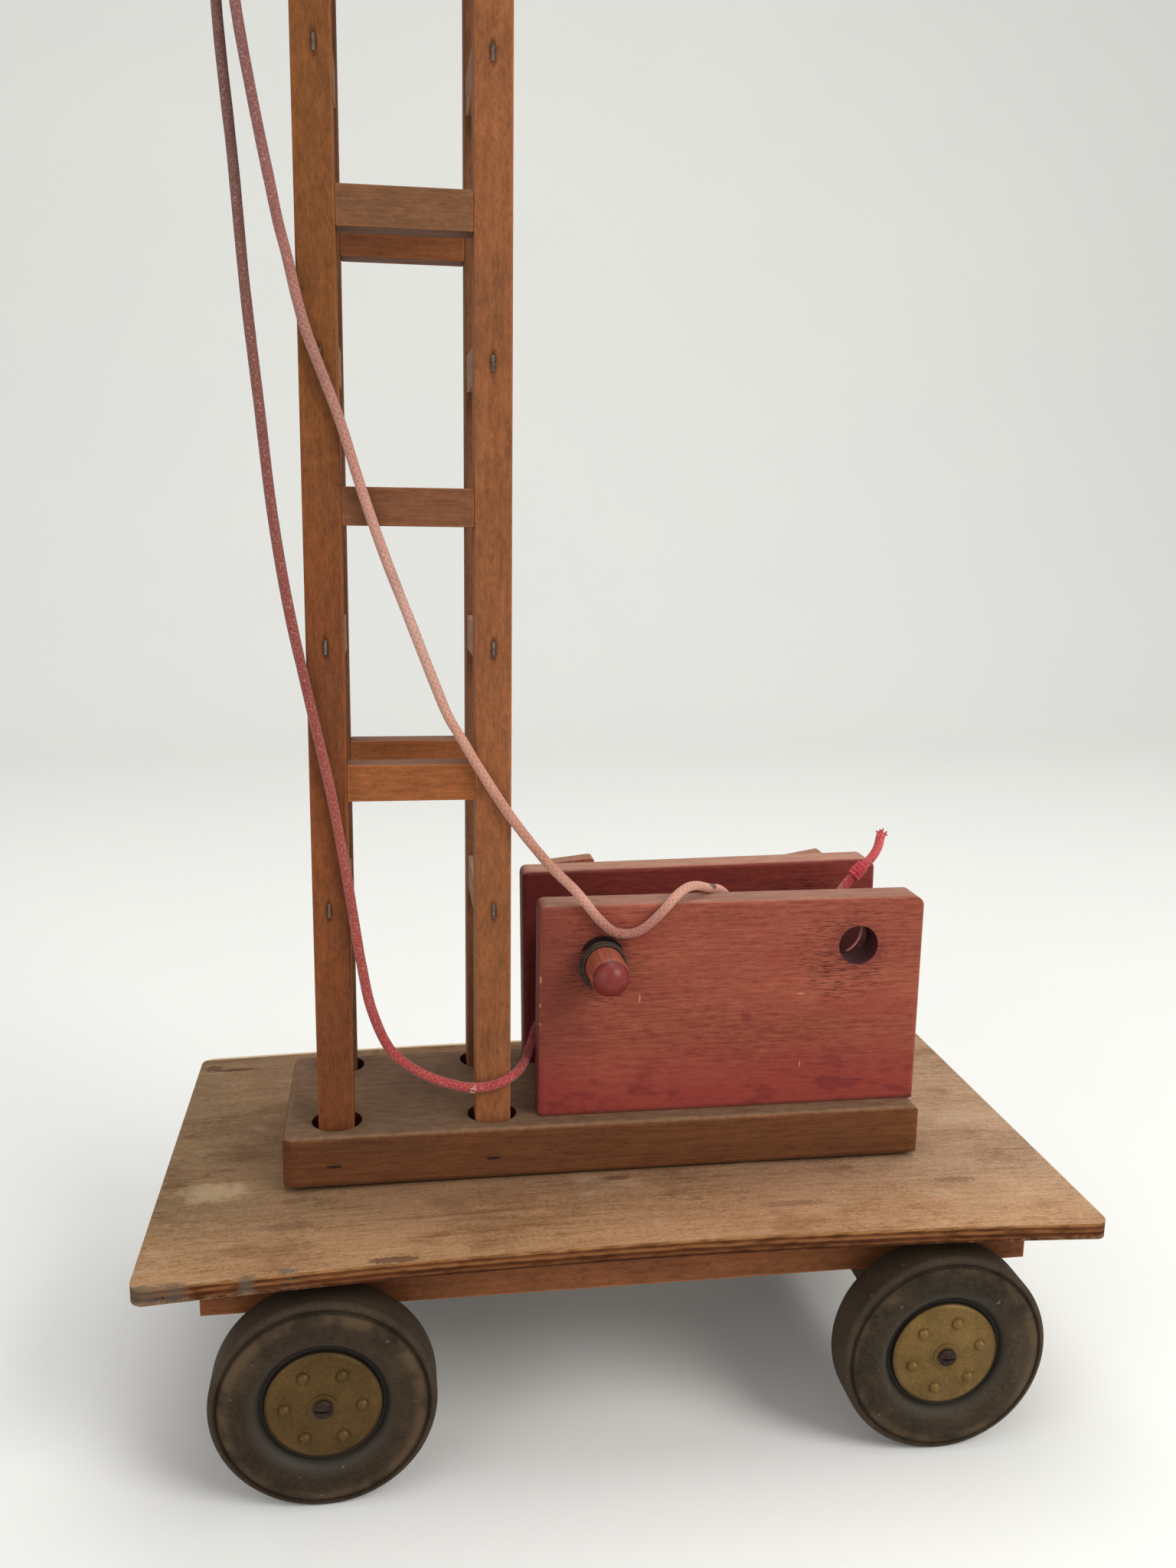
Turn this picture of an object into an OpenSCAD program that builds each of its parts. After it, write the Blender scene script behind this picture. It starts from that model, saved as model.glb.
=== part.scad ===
// Toy crane on four rubber-tyred wheels: a ply deck, a slewing block, a batten tower,
// a winch housing with two crank shafts, a luffing jib and two cords.
// X runs along the deck, Y to the back, Z up. The origin is on the ground under the slewing bolt.

/* [Deck] */
// Length of the deck board
deck_l = 340; // [320:1:400]
// Offset of the board's middle from the slewing bolt
deck_x = 1.8; // [0:0.1:4]
// Width of the deck board
deck_w = 188; // [186:1:220]
// Thickness of the deck board
deck_t = 6; // [4:0.5:10]
// Drop of the warped board's ends below its middle
deck_bow = 2.6; // [1:0.1:5]
// Hollow of the board's front edge, seen from above
deck_hollow = 3.5; // [1:0.1:6]
// Corner radius of the board
deck_r = 5.5; // [2:0.5:12]

/* [Running gear] */
// Width of the two rails under the deck
rail_w = 18; // [12:0.5:24]
// Height of a rail at the middle of the arched deck
rail_h = 24.6; // [20:0.1:32]
// Left end of the rails
rail_x0 = -150; // [-160:1:-130]
// Right end of the rails
rail_x1 = 154; // [135:1:160]
// Distance between the outer faces of the rails
rail_span = 133; // [120:1:133]
// Width of an axle beam along the deck
beam_w = 15; // [14:1:30]
// Height of an axle beam
beam_h = 35; // [26:1:40]
// Height of the axle above the beam's underside
beam_axle_z = 12.5; // [8:0.5:16]
// Place of the left axle along the deck
axle_x0 = -107.5; // [-115:0.5:-90]
// Place of the right axle along the deck
axle_x1 = 114.5; // [100:0.5:120]
// Radius of the axle screws
screw_r = 2.5; // [1.5:0.1:3]
// Radius of the axle screws' heads
screw_head_r = 3.3; // [3.2:0.1:5]
// Length of a screw inside its beam
screw_depth = 17; // [8:1:25]

/* [Wheels] */
// Radius of a tyre
wheel_r = 38.5; // [34:0.5:44]
// Width of a tyre over its sidewalls
wheel_w = 19.6; // [18.8:0.2:20.4]
// Gap between the rails' faces and the tyres
wheel_gap = 5.7; // [4.5:0.1:6]
// Width of the tread band
tread_w = 16; // [15.6:0.1:16.4]
// Step from the tread down to the groove beside it
tread_step = 3; // [2.6:0.1:3.4]
// Radius of the tread's shoulders
tread_edge_r = 2.2; // [1:0.1:2.4]
// Radius of the sidewall's long outer curve
wall_r = 14; // [12:0.5:16]
// Radius of the sidewall's rim beside the disc
rim_r = 6; // [5:0.5:7]
// Radius of a wheel disc
disc_r = 19.7; // [16:0.1:21]
// Thickness of a wheel disc
disc_t = 1.6; // [1:0.1:2.5]
// Rise of a disc from its edge to its hub
disc_dish = 1; // [0:0.1:1.6]
// Thickness of the rubber web between the two discs
web_t = 11.6; // [8:0.2:13]
// Number of pressed bumps in a disc
bump_n = 6; // [3:1:8]
// Radius of the circle that the bumps lie on
bump_ring_r = 13; // [11:0.5:15]
// Radius of a pressed bump
bump_r = 2.3; // [1.5:0.1:2.6]
// Radius of the bush that the wheel turns on
bush_r = 5; // [4:0.1:6]

/* [Slewing block] */
// Length of the block
block_l = 244; // [236:1:260]
// Width of the block
block_w = 76; // [75:0.5:80]
// Offset of the block's middle from the bolt, along the deck
block_x = -1; // [-3:0.5:3]
// Offset of the block's middle from the bolt, to the back
block_y = -1.8; // [-1.8:0.1:0]
// Height of the block
block_h = 20; // [18:0.5:30]
// Radius of the block's long edges
block_edge_r = 2; // [1:0.5:4]
// Radius of the block's worn upright corners
block_corner_r = 4; // [2:0.5:8]
// Radius of the worn top edge at the right end
block_nose_r = 5; // [2:0.5:8]
// Thickness of the washer under the block
washer_t = 0.55; // [0.4:0.05:2]
// Radius of that washer
washer_r = 12; // [8:0.5:20]
// Radius of the slewing bolt
bolt_r = 3; // [2:0.1:4]
// Radius of the slewing bolt's round head
bolt_head_r = 7; // [5:0.5:9]
// Clearance of the block and the nut against the deck
slew_gap = 0.05; // [0.05:0.05:0.3]
// Depth of the round holes that the legs stand in
leg_hole_depth = 15; // [8:0.5:16]

/* [Tower] */
// Side of the square battens
batten = 13; // [10:0.5:13]
// Radius of the battens' long edges
batten_r = 0.8; // [0.3:0.1:1.5]
// Place of the left legs along the deck
leg_x0 = -103.5; // [-106:0.5:-98]
// Place of the right legs along the deck
leg_x1 = -45.5; // [-50:0.5:-45]
// Distance between the centres of a front leg and a back leg
leg_span = 52; // [51:0.5:52]
// Height of the tower above the block
tower_h = 488; // [482:1:500]
// Height of the lowest side rung above the block
side_rung_z = 83; // [70:1:85]
// Height of the lowest front rung above the block
front_rung_z = 129.6; // [126:0.05:133]
// Spacing of the rungs
rung_pitch = 95.7; // [94:0.1:96.5]
// Depth of a rung, a little less than a batten
rung_d = 12; // [9:0.5:12.5]

/* [Winch housing] */
// Length of the housing's two plates
plate_l = 149; // [140:1:149]
// Height of the plates
plate_h = 83; // [81:0.5:100]
// Thickness of the plates
plate_t = 13; // [10:0.5:13]
// Left end of the plates
plate_x0 = -28.5; // [-30:0.5:-28.5]
// Distance of the front plate's face from the block's middle
plate_y0 = 32; // [31:0.5:32]
// Distance of the back plate's face from the block's middle
plate_y1 = 32; // [31:0.5:32]
// Tilt of the back plate, whose top is higher at its right end
plate_tilt = 0.9; // [0:0.1:1.5]
// Radius of the plates' edges
plate_edge_r = 2; // [1:0.5:3]
// Radius of the upper right corner
plate_corner_r = 6; // [3:0.5:12]
// Radius of the other corners
plate_other_r = 3.5; // [2:0.5:8]
// Place of the left shaft along the deck
shaft_x0 = -5; // [-6:0.5:-3]
// Place of the right shaft along the deck
shaft_x1 = 94.5; // [94:0.5:98]
// Height of the left shaft above the block
shaft_z0 = 61.2; // [58:0.1:66]
// Height of the right shaft above the block
shaft_z1 = 63.7; // [58:0.1:66]
// Radius of the empty bearing hole in the front plate
bearing_r = 7.75; // [7.5:0.05:8.5]

/* [Shafts and cranks] */
// Radius of the shaft dowels
shaft_r = 7.2; // [6:0.1:7.3]
// Length of the left shaft in front of the front plate, without its round end
shaft_nose = 18; // [17:0.5:30]
// Length of the broken right shaft in front of the back plate
stub_l = 13.5; // [8:0.5:20]
// Width of the left crank arm
crank_w0 = 18.2; // [17:0.1:21]
// Width of the right crank arm
crank_w1 = 20; // [17:0.1:21]
// Thickness of a crank arm
crank_t = 8; // [6:0.5:12]
// Distance from the shaft to the crank's knob
crank_r = 38; // [30:0.5:38]
// Length of the left crank arm beyond its shaft
crank_top0 = 21.6; // [18:0.1:22]
// Length of the right crank arm beyond its shaft
crank_top1 = 18.6; // [16:0.1:22]
// Length of a crank arm from its shaft to the knob's end
crank_reach = 48.5; // [46:0.5:48.5]
// Corner radius of a crank arm
crank_corner_r = 1.2; // [0.6:0.1:4]
// Gap between the back plate and the crank arms
crank_gap = 1; // [0.5:0.1:2]
// Lean of the left crank from upright
crank_tilt0 = 6.5; // [-20:0.5:20]
// Lean of the right crank from upright
crank_tilt1 = 10; // [-20:0.5:20]
// Radius of a knob
knob_r = 6; // [5:0.1:7]
// Length of a knob
knob_l = 30; // [20:1:40]
// Radius of the rubber ring's strand on the left shaft
ring_r = 0.75; // [0.5:0.05:1.2]
// Distance between the two strands of the rubber ring
ring_pitch = 3; // [2.6:0.1:4]

/* [Head and jib] */
// Thickness of the two cheeks at the head
cheek_t = 12; // [10:0.5:12]
// Reach of the head's axle beyond the left legs
head_reach = 40.5; // [38:0.5:43]
// Radius of a pulley's flanges
sheave_r = 12; // [11.5:0.1:12.5]
// Thickness of a pulley
sheave_t = 6.6; // [5.6:0.1:6.8]
// Radius of the pulley axles
pin_r = 3; // [2:0.1:3.5]
// Radius of the jib's hinge dowel and of its stop
dowel_r = 4; // [3:0.1:4.5]
// Height of the jib's hinge above the block
hinge_z = 420.3; // [418:0.1:424]
// Distance from the jib's hinge to the axle at its tip
jib_l = 250; // [240:1:260]
// Length of the jib's tail behind its hinge
jib_tail = 65.5; // [62:0.5:70]
// Clearance between the jib's rails and the legs
jib_gap = 0.4; // [0.3:0.1:1]
// Distance from the jib's tip axle to its nearest rung
jib_rung_in = 31.5; // [24:0.5:34]
// Spacing of the jib's rungs
jib_rung_pitch = 46; // [40:1:50]
// Number of the jib's rungs
jib_rung_n = 3; // [1:1:3]
// Radius of the wooden roller at the tip
roller_r = 6; // [5:0.1:7]

/* [Cords and hook] */
// Diameter of the cords
cord_d = 3.6; // [3:0.1:3.6]
// Spacing of the turns on the left shaft
turn_pitch = 4.2; // [4.15:0.05:4.4]
// Number of turns on the left shaft
turns = 7; // [4:1:7]
// Length of cord between the tip and the hook's weight
fall_l = 60; // [45:1:80]
// Radius of the hook's weight
weight_r = 9; // [7:0.5:10]
// Height of the hook's weight
weight_h = 26; // [20:1:34]
// Radius of the hook's wire
wire_r = 1.5; // [1:0.1:2]
// Inner radius of the hook's bend
hook_r = 8; // [6:0.5:10]

/* [Hidden] */
run = 0.09;          // radial clearance of every shaft that turns in a hole
cord_r = cord_d / 2;
beam_z = wheel_r - beam_axle_z;
rail_z = beam_z + beam_h;
deck_under = rail_z + rail_h;
deck_z = deck_under + deck_t;
wheel_y = rail_span / 2 + wheel_gap + wheel_w / 2;
wall_top = wheel_r - tread_step;
disc_out = web_t / 2 + disc_t;
bush_in = wheel_w / 2 + wheel_gap - 0.7;
block_z = deck_z + slew_gap + washer_t;
top = block_z + block_h;
leg_hole_r = batten / sqrt(2) + 0.1;
leg_z = top - leg_hole_depth;
tower_z = top + tower_h;
leg_y = leg_span / 2;
leg_in = leg_y - batten / 2;
leg_out = leg_y + batten / 2;
plate_f = -plate_y0 + plate_t;
plate_b = plate_y1 - plate_t;
axis0 = [shaft_x0, 0, top + shaft_z0];
axis1 = [shaft_x1, 0, top + shaft_z1];
crank_y = plate_y1 + crank_gap;
cheek_y = leg_in - cheek_t;
cheek_z = top + side_rung_z + 4 * rung_pitch + batten / 2;
cheek_h = 18;
head = [leg_x0 - head_reach, 0, cheek_z + cheek_h / 2];
groove_r = cord_r + 0.3;
lay_r = sheave_r - 1.9;
sheave_y = sheave_t / 2 + 0.3;
hinge = [leg_x0, 0, top + hinge_z];
tip = [leg_x0 - jib_l, 0, top + hinge_z];
jib_y = leg_out + jib_gap;
stop_z = hinge[2] + batten / 2 + dowel_r + 0.1;
dowel_end = jib_y + batten + 1.6;
rung_x = tip[0] + jib_rung_in;
fall_x = tip[0] - lay_r;
weight_z = tip[2] - fall_l;
hook_z = weight_z - weight_h - 9 - hook_r - wire_r;
shank_r = wire_r + 0.4;

// Routes of the two free cords, from the head pulley down.
luff_route = [
    [0, 3.6, 584], [0, 1, 572], [-0.6, -7.5, 535], [0.3, -16.9, 496.1], [4.3, -21.9, 446.9],
    [7.2, -26.3, 406.6], [10.7, -29.4, 370.4], [14.2, -32.1, 334.3], [18.7, -34.2, 303.4],
    [24.8, -34.8, 271.8], [31.1, -34.8, 240.8], [36, -34.8, 210.2], [40.7, -34.8, 176.5],
    [44.2, -34.8, 158.3], [50.8, -34.8, 142.7], [58.8, -34.8, 135.2], [66, -34.8, 131],
    [73.3, -34.8, 128.2], [79.6, -34.8, 126.7], [86, -34.8, 126.7], [92.1, -34.5, 128.4],
    [97.1, -31.9, 130.5], [100.4, -26.7, 132.1], [102.6, -20.9, 133.7], [104.8, -15.8, 136.7],
    [107.3, -13.2, 141.7], [111.2, -12.1, 146.2], [115.4, -13, 151.8], [118.4, -14.7, 157.6]];
hoist_route = [
    [0, -3.6, 584], [0.5, -5.5, 572], [3, -13.5, 533], [6.8, -23.4, 494.3], [11.9, -27.7, 463],
    [16.6, -31.3, 438.4], [18.9, -33.2, 426.6], [21.5, -34.1, 416.1], [24, -34.8, 404.3],
    [26.8, -34.8, 393.7], [30, -34.8, 384.7], [37, -34.8, 365.8], [43.3, -34.8, 344.8],
    [51.1, -34.8, 321.4], [59.6, -34.8, 298.9], [68.1, -34.8, 276.4], [72.5, -34.8, 265.6],
    [77.3, -34.8, 257.4], [82.7, -34.8, 248], [94.7, -34.8, 229.1], [108.6, -34.8, 211.2],
    [119, -34.6, 200.4], [127.3, -34.1, 189.9], [132.7, -33.9, 185.1], [138, -33.9, 184],
    [142.7, -33.9, 185.1], [147.3, -33.9, 188.6], [151.9, -34.1, 193.3], [156.7, -32.9, 198.2],
    [160.9, -30, 200], [165.5, -25.8, 199.5], [171.5, -21, 197], [177, -16.6, 194.9],
    [181, -14.2, 190.8], [184.8, -12, 183.5], [189, -10.2, 175], [195, -8.5, 167], [204, -6.6, 160.5],
    [213.5, -5, 159], [220.5, -4, 163], [224.3, -4, 170.5], [226.2, -4, 179], [229, -4, 187.5],
    [233.2, -4, 193.5], [237.5, -4, 198], [241.8, -4, 202.2], [244.7, -4, 207], [245.8, -4, 213]];

// Small shapes.
module outline(x0, y0, x1, y1, r) {
    polygon([[x0 + r[0], y0], [x1 - r[1], y0], [x1, y0 + r[1]], [x1, y1 - r[2]],
        [x1 - r[2], y1], [x0 + r[3], y1], [x0, y1 - r[3]], [x0, y0 + r[0]]]);
    translate([x0 + r[0], y0 + r[0]]) circle(r[0], $fn = 48);
    translate([x1 - r[1], y0 + r[1]]) circle(r[1], $fn = 48);
    translate([x1 - r[2], y1 - r[2]]) circle(r[2], $fn = 48);
    translate([x0 + r[3], y1 - r[3]]) circle(r[3], $fn = 48);
}
module seen_from_front(y0, y1) {
    translate([0, y1, 0]) rotate([90, 0, 0]) linear_extrude(y1 - y0) children();
}
module seen_from_right(x0, x1) {
    translate([x0, 0, 0]) rotate([90, 0, 90]) linear_extrude(x1 - x0) children();
}
module upright(x, y, z0, z1) {
    h = batten / 2;
    translate([x, y, z0]) linear_extrude(z1 - z0) outline(-h, -h, h, h, [for (i = [1:4]) batten_r]);
}
module along_y(x, z, r, y0, y1) {
    translate([x, y1, z]) rotate([90, 0, 0]) cylinder(r = r, h = y1 - y0, $fn = 64);
}
// The deck's gentle arch, drawn as 24 chords, and the drop below its middle at x.
function drop(x, sag) = sag * pow(2 * x / deck_l, 2);
function arch(z, sag) = [for (i = [0:24]) let (x = deck_l * (i / 24 - 0.5)) [x, z - drop(x, sag)]];

// A tube of triangles through a list of rings, each ring a centre and two cross directions.
module sweep(rings, r, n) {
    m = len(rings);
    pts = [for (q = rings) for (k = [0:n - 1])
        q[0] + r * (cos(360 * k / n) * q[1] + sin(360 * k / n) * q[2])];
    sides = [for (i = [0:m - 2]) for (k = [0:n - 1]) let (a = i * n + k, b = i * n + (k + 1) % n)
        each [[a, b + n, b], [a, a + n, b + n]]];
    polyhedron(points = pts, faces = concat(sides,
        [for (k = [1:n - 2]) [0, k, k + 1]],
        [for (k = [1:n - 2]) (m - 1) * n * [1, 1, 1] + [0, k + 1, k]]));
}
function unit(v) = v / norm(v);
function rings_on(p) = [for (i = [0:len(p) - 1])
    let (t = unit(p[min(i + 1, len(p) - 1)] - p[max(i - 1, 0)]), u = unit(cross([0, 1, 0], t)))
    [p[i], u, cross(t, u)]];
module cord(p) { sweep(rings_on(p), cord_r, 8); }
function lay(c, y, a) = [c[0] + lay_r * cos(a), y, c[2] + lay_r * sin(a)];

// Deck, rails and axles.
module deck() {
    h = deck_hollow - deck_w / 2;
    color([0.65, 0.49, 0.35]) difference() {
        intersection() {
            translate([deck_x, 0, deck_z - 40]) linear_extrude(60) difference() {
                outline(-deck_l / 2, -deck_w / 2, deck_l / 2, deck_w / 2, [for (i = [1:4]) deck_r]);
                polygon(concat(arch(h, deck_hollow), [[deck_l / 2, -deck_w], [-deck_l / 2, -deck_w]]));
            }
            translate([deck_x, 0, 0]) seen_from_front(-deck_w, deck_w)
                polygon(concat(arch(deck_under, deck_bow), [for (i = [24:-1:0]) arch(deck_z, deck_bow)[i]]));
        }
        translate([0, 0, deck_z - 40]) cylinder(r = bolt_r + run, h = 60, $fn = 64);
    }
}
module rail(side) {
    y = side * (rail_span / 2 - rail_w / 2);
    color([0.58, 0.37, 0.2]) intersection() {
        translate([rail_x0, y - rail_w / 2, rail_z]) cube([rail_x1 - rail_x0, rail_w, rail_h + 10]);
        translate([deck_x, 0, 0]) seen_from_front(y - rail_w, y + rail_w)
            polygon(concat(arch(deck_under, deck_bow),
                [[deck_l / 2, rail_z - 1], [-deck_l / 2, rail_z - 1]]));
    }
}
module rail_front() { rail(-1); }
module rail_back() { rail(1); }
module axle_beam(x) {
    color([0.5, 0.33, 0.2]) difference() {
        translate([x - beam_w / 2, -rail_span / 2, beam_z]) cube([beam_w, rail_span, beam_h]);
        along_y(x, wheel_r, screw_r, -rail_span / 2 - 1, -rail_span / 2 + screw_depth);
        along_y(x, wheel_r, screw_r, rail_span / 2 - screw_depth, rail_span / 2 + 1);
    }
}
module axle_beam_left() { axle_beam(axle_x0); }
module axle_beam_right() { axle_beam(axle_x1); }
// At a wheel: Z is outwards from the middle of the tyre.
module at_wheel(x, side) { translate([x, side * wheel_y, wheel_r]) rotate([-90 * side, 0, 0]) children(); }
module axle_screw() {
    out = disc_out + disc_dish + 0.6;
    foot = rail_span / 2 - screw_depth - wheel_y;
    difference() {
        union() {
            translate([0, 0, foot]) cylinder(r = screw_r, h = out - foot + 0.1, $fn = 48);
            translate([0, 0, out]) rotate_extrude($fn = 48) intersection() {
                translate([0, 1.8 - screw_head_r * 1.6]) circle(screw_head_r * 1.6, $fn = 96);
                square([screw_head_r, 1.8]);
            }
        }
        translate([-screw_head_r, -0.4, out + 0.9]) cube([2 * screw_head_r, 0.8, 2]);
    }
}
module axle_screws() {
    color([0.3, 0.3, 0.32]) for (x = [axle_x0, axle_x1], side = [-1, 1]) at_wheel(x, side) axle_screw();
}

// Wheels.
module tyre() {
    h = wheel_w / 2;
    r0 = disc_r + 1.8 + rim_r;
    r1 = r0 + 1.3;
    color([0.33, 0.3, 0.28]) rotate_extrude($fn = 180) difference() {
        union() {
            outline(disc_r + 9, -tread_w / 2, wheel_r, tread_w / 2, [1, tread_edge_r, tread_edge_r, 1]);
            translate([bush_r, -web_t / 2]) square([disc_r + 5 - bush_r, web_t]);
            translate([r0 - rim_r, rim_r - h]) square([rim_r, 2 * (h - rim_r)]);
            translate([r0, -h]) square([r1 - r0, 2 * h]);
            for (s = [-1, 1]) {
                translate([r0, s * (h - rim_r)]) circle(rim_r, $fn = 64);
                intersection() {
                    translate([r1, s * (h - wall_r)]) circle(wall_r, $fn = 128);
                    translate([r1 - 0.1, -h / 2 + s * h / 2]) square([wall_top - r1 + 0.1, h]);
                }
            }
        }
        for (s = [-1, 1]) {
            translate([wall_top + 0.1, s * tread_w / 2]) circle(0.7, $fn = 24);
            translate([disc_r + 1.1, s * web_t / 2]) circle(1, $fn = 32);
        }
    }
}
module disc(turn) {
    w = web_t / 2;
    rotate_extrude($fn = 120) polygon([[bush_r, w], [disc_r, w], [disc_r, w + disc_t * 0.6],
        [disc_r - 1, w + disc_t], [bush_r + 4, w + disc_t + disc_dish], [bush_r, w + disc_t + disc_dish]]);
    rise = disc_dish * (disc_r - 1 - bump_ring_r) / (disc_r - 5 - bush_r);
    for (i = [0:bump_n - 1]) rotate(turn + 360 * i / bump_n)
        translate([bump_ring_r, 0, w + disc_t + rise - 0.4]) intersection() {
            sphere(bump_r, $fn = 32);
            translate([0, 0, 5]) cube([10, 10, 10], center = true);
        }
}
module discs(turn) { color([0.6, 0.48, 0.3]) { disc(turn); mirror([0, 0, 1]) disc(turn); } }
module bush() {
    color([0.5, 0.45, 0.36]) translate([0, 0, -bush_in]) difference() {
        cylinder(r = bush_r, h = bush_in + disc_out + disc_dish + 0.3, $fn = 64);
        translate([0, 0, -1]) cylinder(r = screw_r + run, h = bush_in + 20, $fn = 64);
    }
}
module tyre_lf() { at_wheel(axle_x0, -1) tyre(); }
module tyre_lb() { at_wheel(axle_x0, 1) tyre(); }
module tyre_rf() { at_wheel(axle_x1, -1) tyre(); }
module tyre_rb() { at_wheel(axle_x1, 1) tyre(); }
module discs_lf() { at_wheel(axle_x0, -1) discs(0); }
module discs_lb() { at_wheel(axle_x0, 1) discs(20); }
module discs_rf() { at_wheel(axle_x1, -1) discs(14); }
module discs_rb() { at_wheel(axle_x1, 1) discs(40); }
module bush_lf() { at_wheel(axle_x0, -1) bush(); }
module bush_lb() { at_wheel(axle_x0, 1) bush(); }
module bush_rf() { at_wheel(axle_x1, -1) bush(); }
module bush_rb() { at_wheel(axle_x1, 1) bush(); }

// Slewing block and its bolt.
module base_block() {
    l = block_l / 2;
    w = block_w / 2;
    color([0.42, 0.29, 0.19]) difference() {
        translate([block_x, block_y, 0]) intersection() {
            translate([0, 0, block_z - 1]) linear_extrude(block_h + 2)
                outline(-l, -w, l, w, [for (i = [1:4]) block_corner_r]);
            seen_from_right(-l - 1, l + 1) outline(-w, block_z, w, top, [for (i = [1:4]) block_edge_r]);
            seen_from_front(-w - 1, w + 1)
                outline(-l, block_z, l, top, [block_edge_r, block_edge_r, block_nose_r, block_edge_r + 1]);
        }
        for (x = [leg_x0, leg_x1], y = [-leg_y, leg_y])
            translate([x, y, leg_z]) cylinder(r = leg_hole_r, h = leg_hole_depth + 1, $fn = 64);
        translate([0, 0, block_z - 1]) cylinder(r = bolt_r, h = block_h + 2, $fn = 64);
    }
}
module slew_washer() {
    color([0.6, 0.6, 0.6]) translate([0, 0, block_z - washer_t]) difference() {
        cylinder(r = washer_r, h = washer_t, $fn = 64);
        translate([0, 0, -1]) cylinder(r = bolt_r, h = washer_t + 2, $fn = 64);
    }
}
module slew_bolt() {
    color([0.55, 0.55, 0.55]) {
        translate([0, 0, deck_under - slew_gap - 8])
            cylinder(r = bolt_r, h = top - deck_under + slew_gap + 8, $fn = 64);
        translate([0, 0, top]) rotate_extrude($fn = 64) intersection() {
            translate([0, 3 - bolt_head_r * 1.5]) circle(bolt_head_r * 1.5, $fn = 96);
            square([bolt_head_r, 3]);
        }
    }
}
module slew_nut() {
    color([0.55, 0.55, 0.55]) translate([0, 0, deck_under - slew_gap - 6]) difference() {
        union() {
            translate([0, 0, 4.8]) cylinder(r = bolt_r + 6, h = 1.2, $fn = 64);
            cylinder(r = bolt_r + 2.8, h = 5, $fn = 6);
        }
        translate([0, 0, -1]) cylinder(r = bolt_r, h = 8, $fn = 64);
    }
}

// Tower.
module leg(x, side, cuts) {
    color([0.6, 0.39, 0.21]) difference() {
        upright(x, side * leg_y, leg_z, tower_z);
        for (z = cuts) along_y(x, z, dowel_r, -leg_out - 1, leg_out + 1);
    }
}
module leg_lf() { leg(leg_x0, -1, [hinge[2]]); }
module leg_lb() { leg(leg_x0, 1, [hinge[2]]); }
module leg_rf() { leg(leg_x1, -1, [stop_z]); }
module leg_rb() { leg(leg_x1, 1, [stop_z]); }
module side_rungs(x) {
    color([0.56, 0.36, 0.2]) for (k = [0:4])
        translate([x - rung_d / 2, -leg_in, top + side_rung_z + k * rung_pitch - batten / 2])
            cube([rung_d, 2 * leg_in, batten]);
}
module cross_rungs(side) {
    color([0.56, 0.36, 0.2]) for (k = [0:3])
        translate([leg_x0 + batten / 2, side * leg_y - rung_d / 2,
            top + front_rung_z + k * rung_pitch - batten / 2])
            cube([leg_x1 - leg_x0 - batten, rung_d, batten]);
}
module rungs_front() { cross_rungs(-1); }
module rungs_back() { cross_rungs(1); }
module rungs_left() { side_rungs(leg_x0); }
module rungs_right() { side_rungs(leg_x1); }

// Winch housing.
module board(y0, h, tilt) {
    e = plate_edge_r;
    q = plate_other_r;
    intersection() {
        translate([plate_x0, 0, top]) rotate([0, -tilt, 0]) intersection() {
            seen_from_front(y0, y0 + plate_t) outline(0, -9, plate_l, h, [q, q, plate_corner_r, q]);
            seen_from_right(0, plate_l) outline(y0, -9, y0 + plate_t, h, [e, e, e, e]);
            translate([0, 0, -9]) linear_extrude(h + 9)
                outline(0, y0, plate_l, y0 + plate_t, [e, e, e, e]);
        }
        translate([plate_x0 - 9, y0 - 1, top]) cube([plate_l + 18, plate_t + 2, h + 9]);
    }
}
module plate(y0, h, tilt, hole) {
    color([0.55, 0.26, 0.2]) difference() {
        board(y0, h, tilt);
        along_y(axis0[0], axis0[2], shaft_r + run, y0 - 1, y0 + plate_t + 1);
        along_y(axis1[0], axis1[2], hole, y0 - 1, y0 + plate_t + 1);
    }
}
module plate_front() { plate(-plate_y0, plate_h, 0, bearing_r); }
module plate_back() { plate(plate_b, plate_h - 0.8, plate_tilt, shaft_r + run); }

// Shafts, cranks and the wound cord.
module shaft_left() {
    color([0.66, 0.34, 0.32]) {
        along_y(axis0[0], axis0[2], shaft_r, -plate_y0 - shaft_nose, crank_y + crank_t + 1);
        translate([axis0[0], -plate_y0 - shaft_nose, axis0[2]]) rotate([90, 0, 0]) rotate_extrude($fn = 64)
            intersection() { circle(shaft_r, $fn = 64); square(shaft_r); }
    }
}
module shaft_right() {
    color([0.66, 0.34, 0.32]) along_y(axis1[0], axis1[2], shaft_r, plate_b - stub_l, crank_y + crank_t + 1);
}
module at_crank(axis, tilt) { translate([axis[0], 0, axis[2]]) rotate([0, -tilt, 0]) children(); }
module crank(w, l) {
    c = crank_corner_r;
    color([0.58, 0.3, 0.24]) difference() {
        seen_from_front(crank_y, crank_y + crank_t) outline(-w / 2, -crank_reach, w / 2, l, [c, c, c, c]);
        along_y(0, 0, shaft_r, crank_y - 1, crank_y + crank_t + 1);
        along_y(0, -crank_r, 4, crank_y - 1, crank_y + crank_t + 1);
    }
}
module knob() {
    y1 = crank_y + crank_t;
    color([0.62, 0.36, 0.3]) translate([0, 0, -crank_r]) {
        along_y(0, 0, 4, crank_y, y1 + 1);
        translate([0, y1, 0]) rotate([-90, 0, 0]) rotate_extrude($fn = 48) intersection() {
            outline(-knob_r, 0, knob_r, knob_l, [1, 1, 3, 3]);
            square([knob_r, knob_l]);
        }
    }
}
module crank_left() { at_crank(axis0, crank_tilt0) crank(crank_w0, crank_top0); }
module crank_right() { at_crank(axis1, crank_tilt1) crank(crank_w1, crank_top1); }
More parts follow.
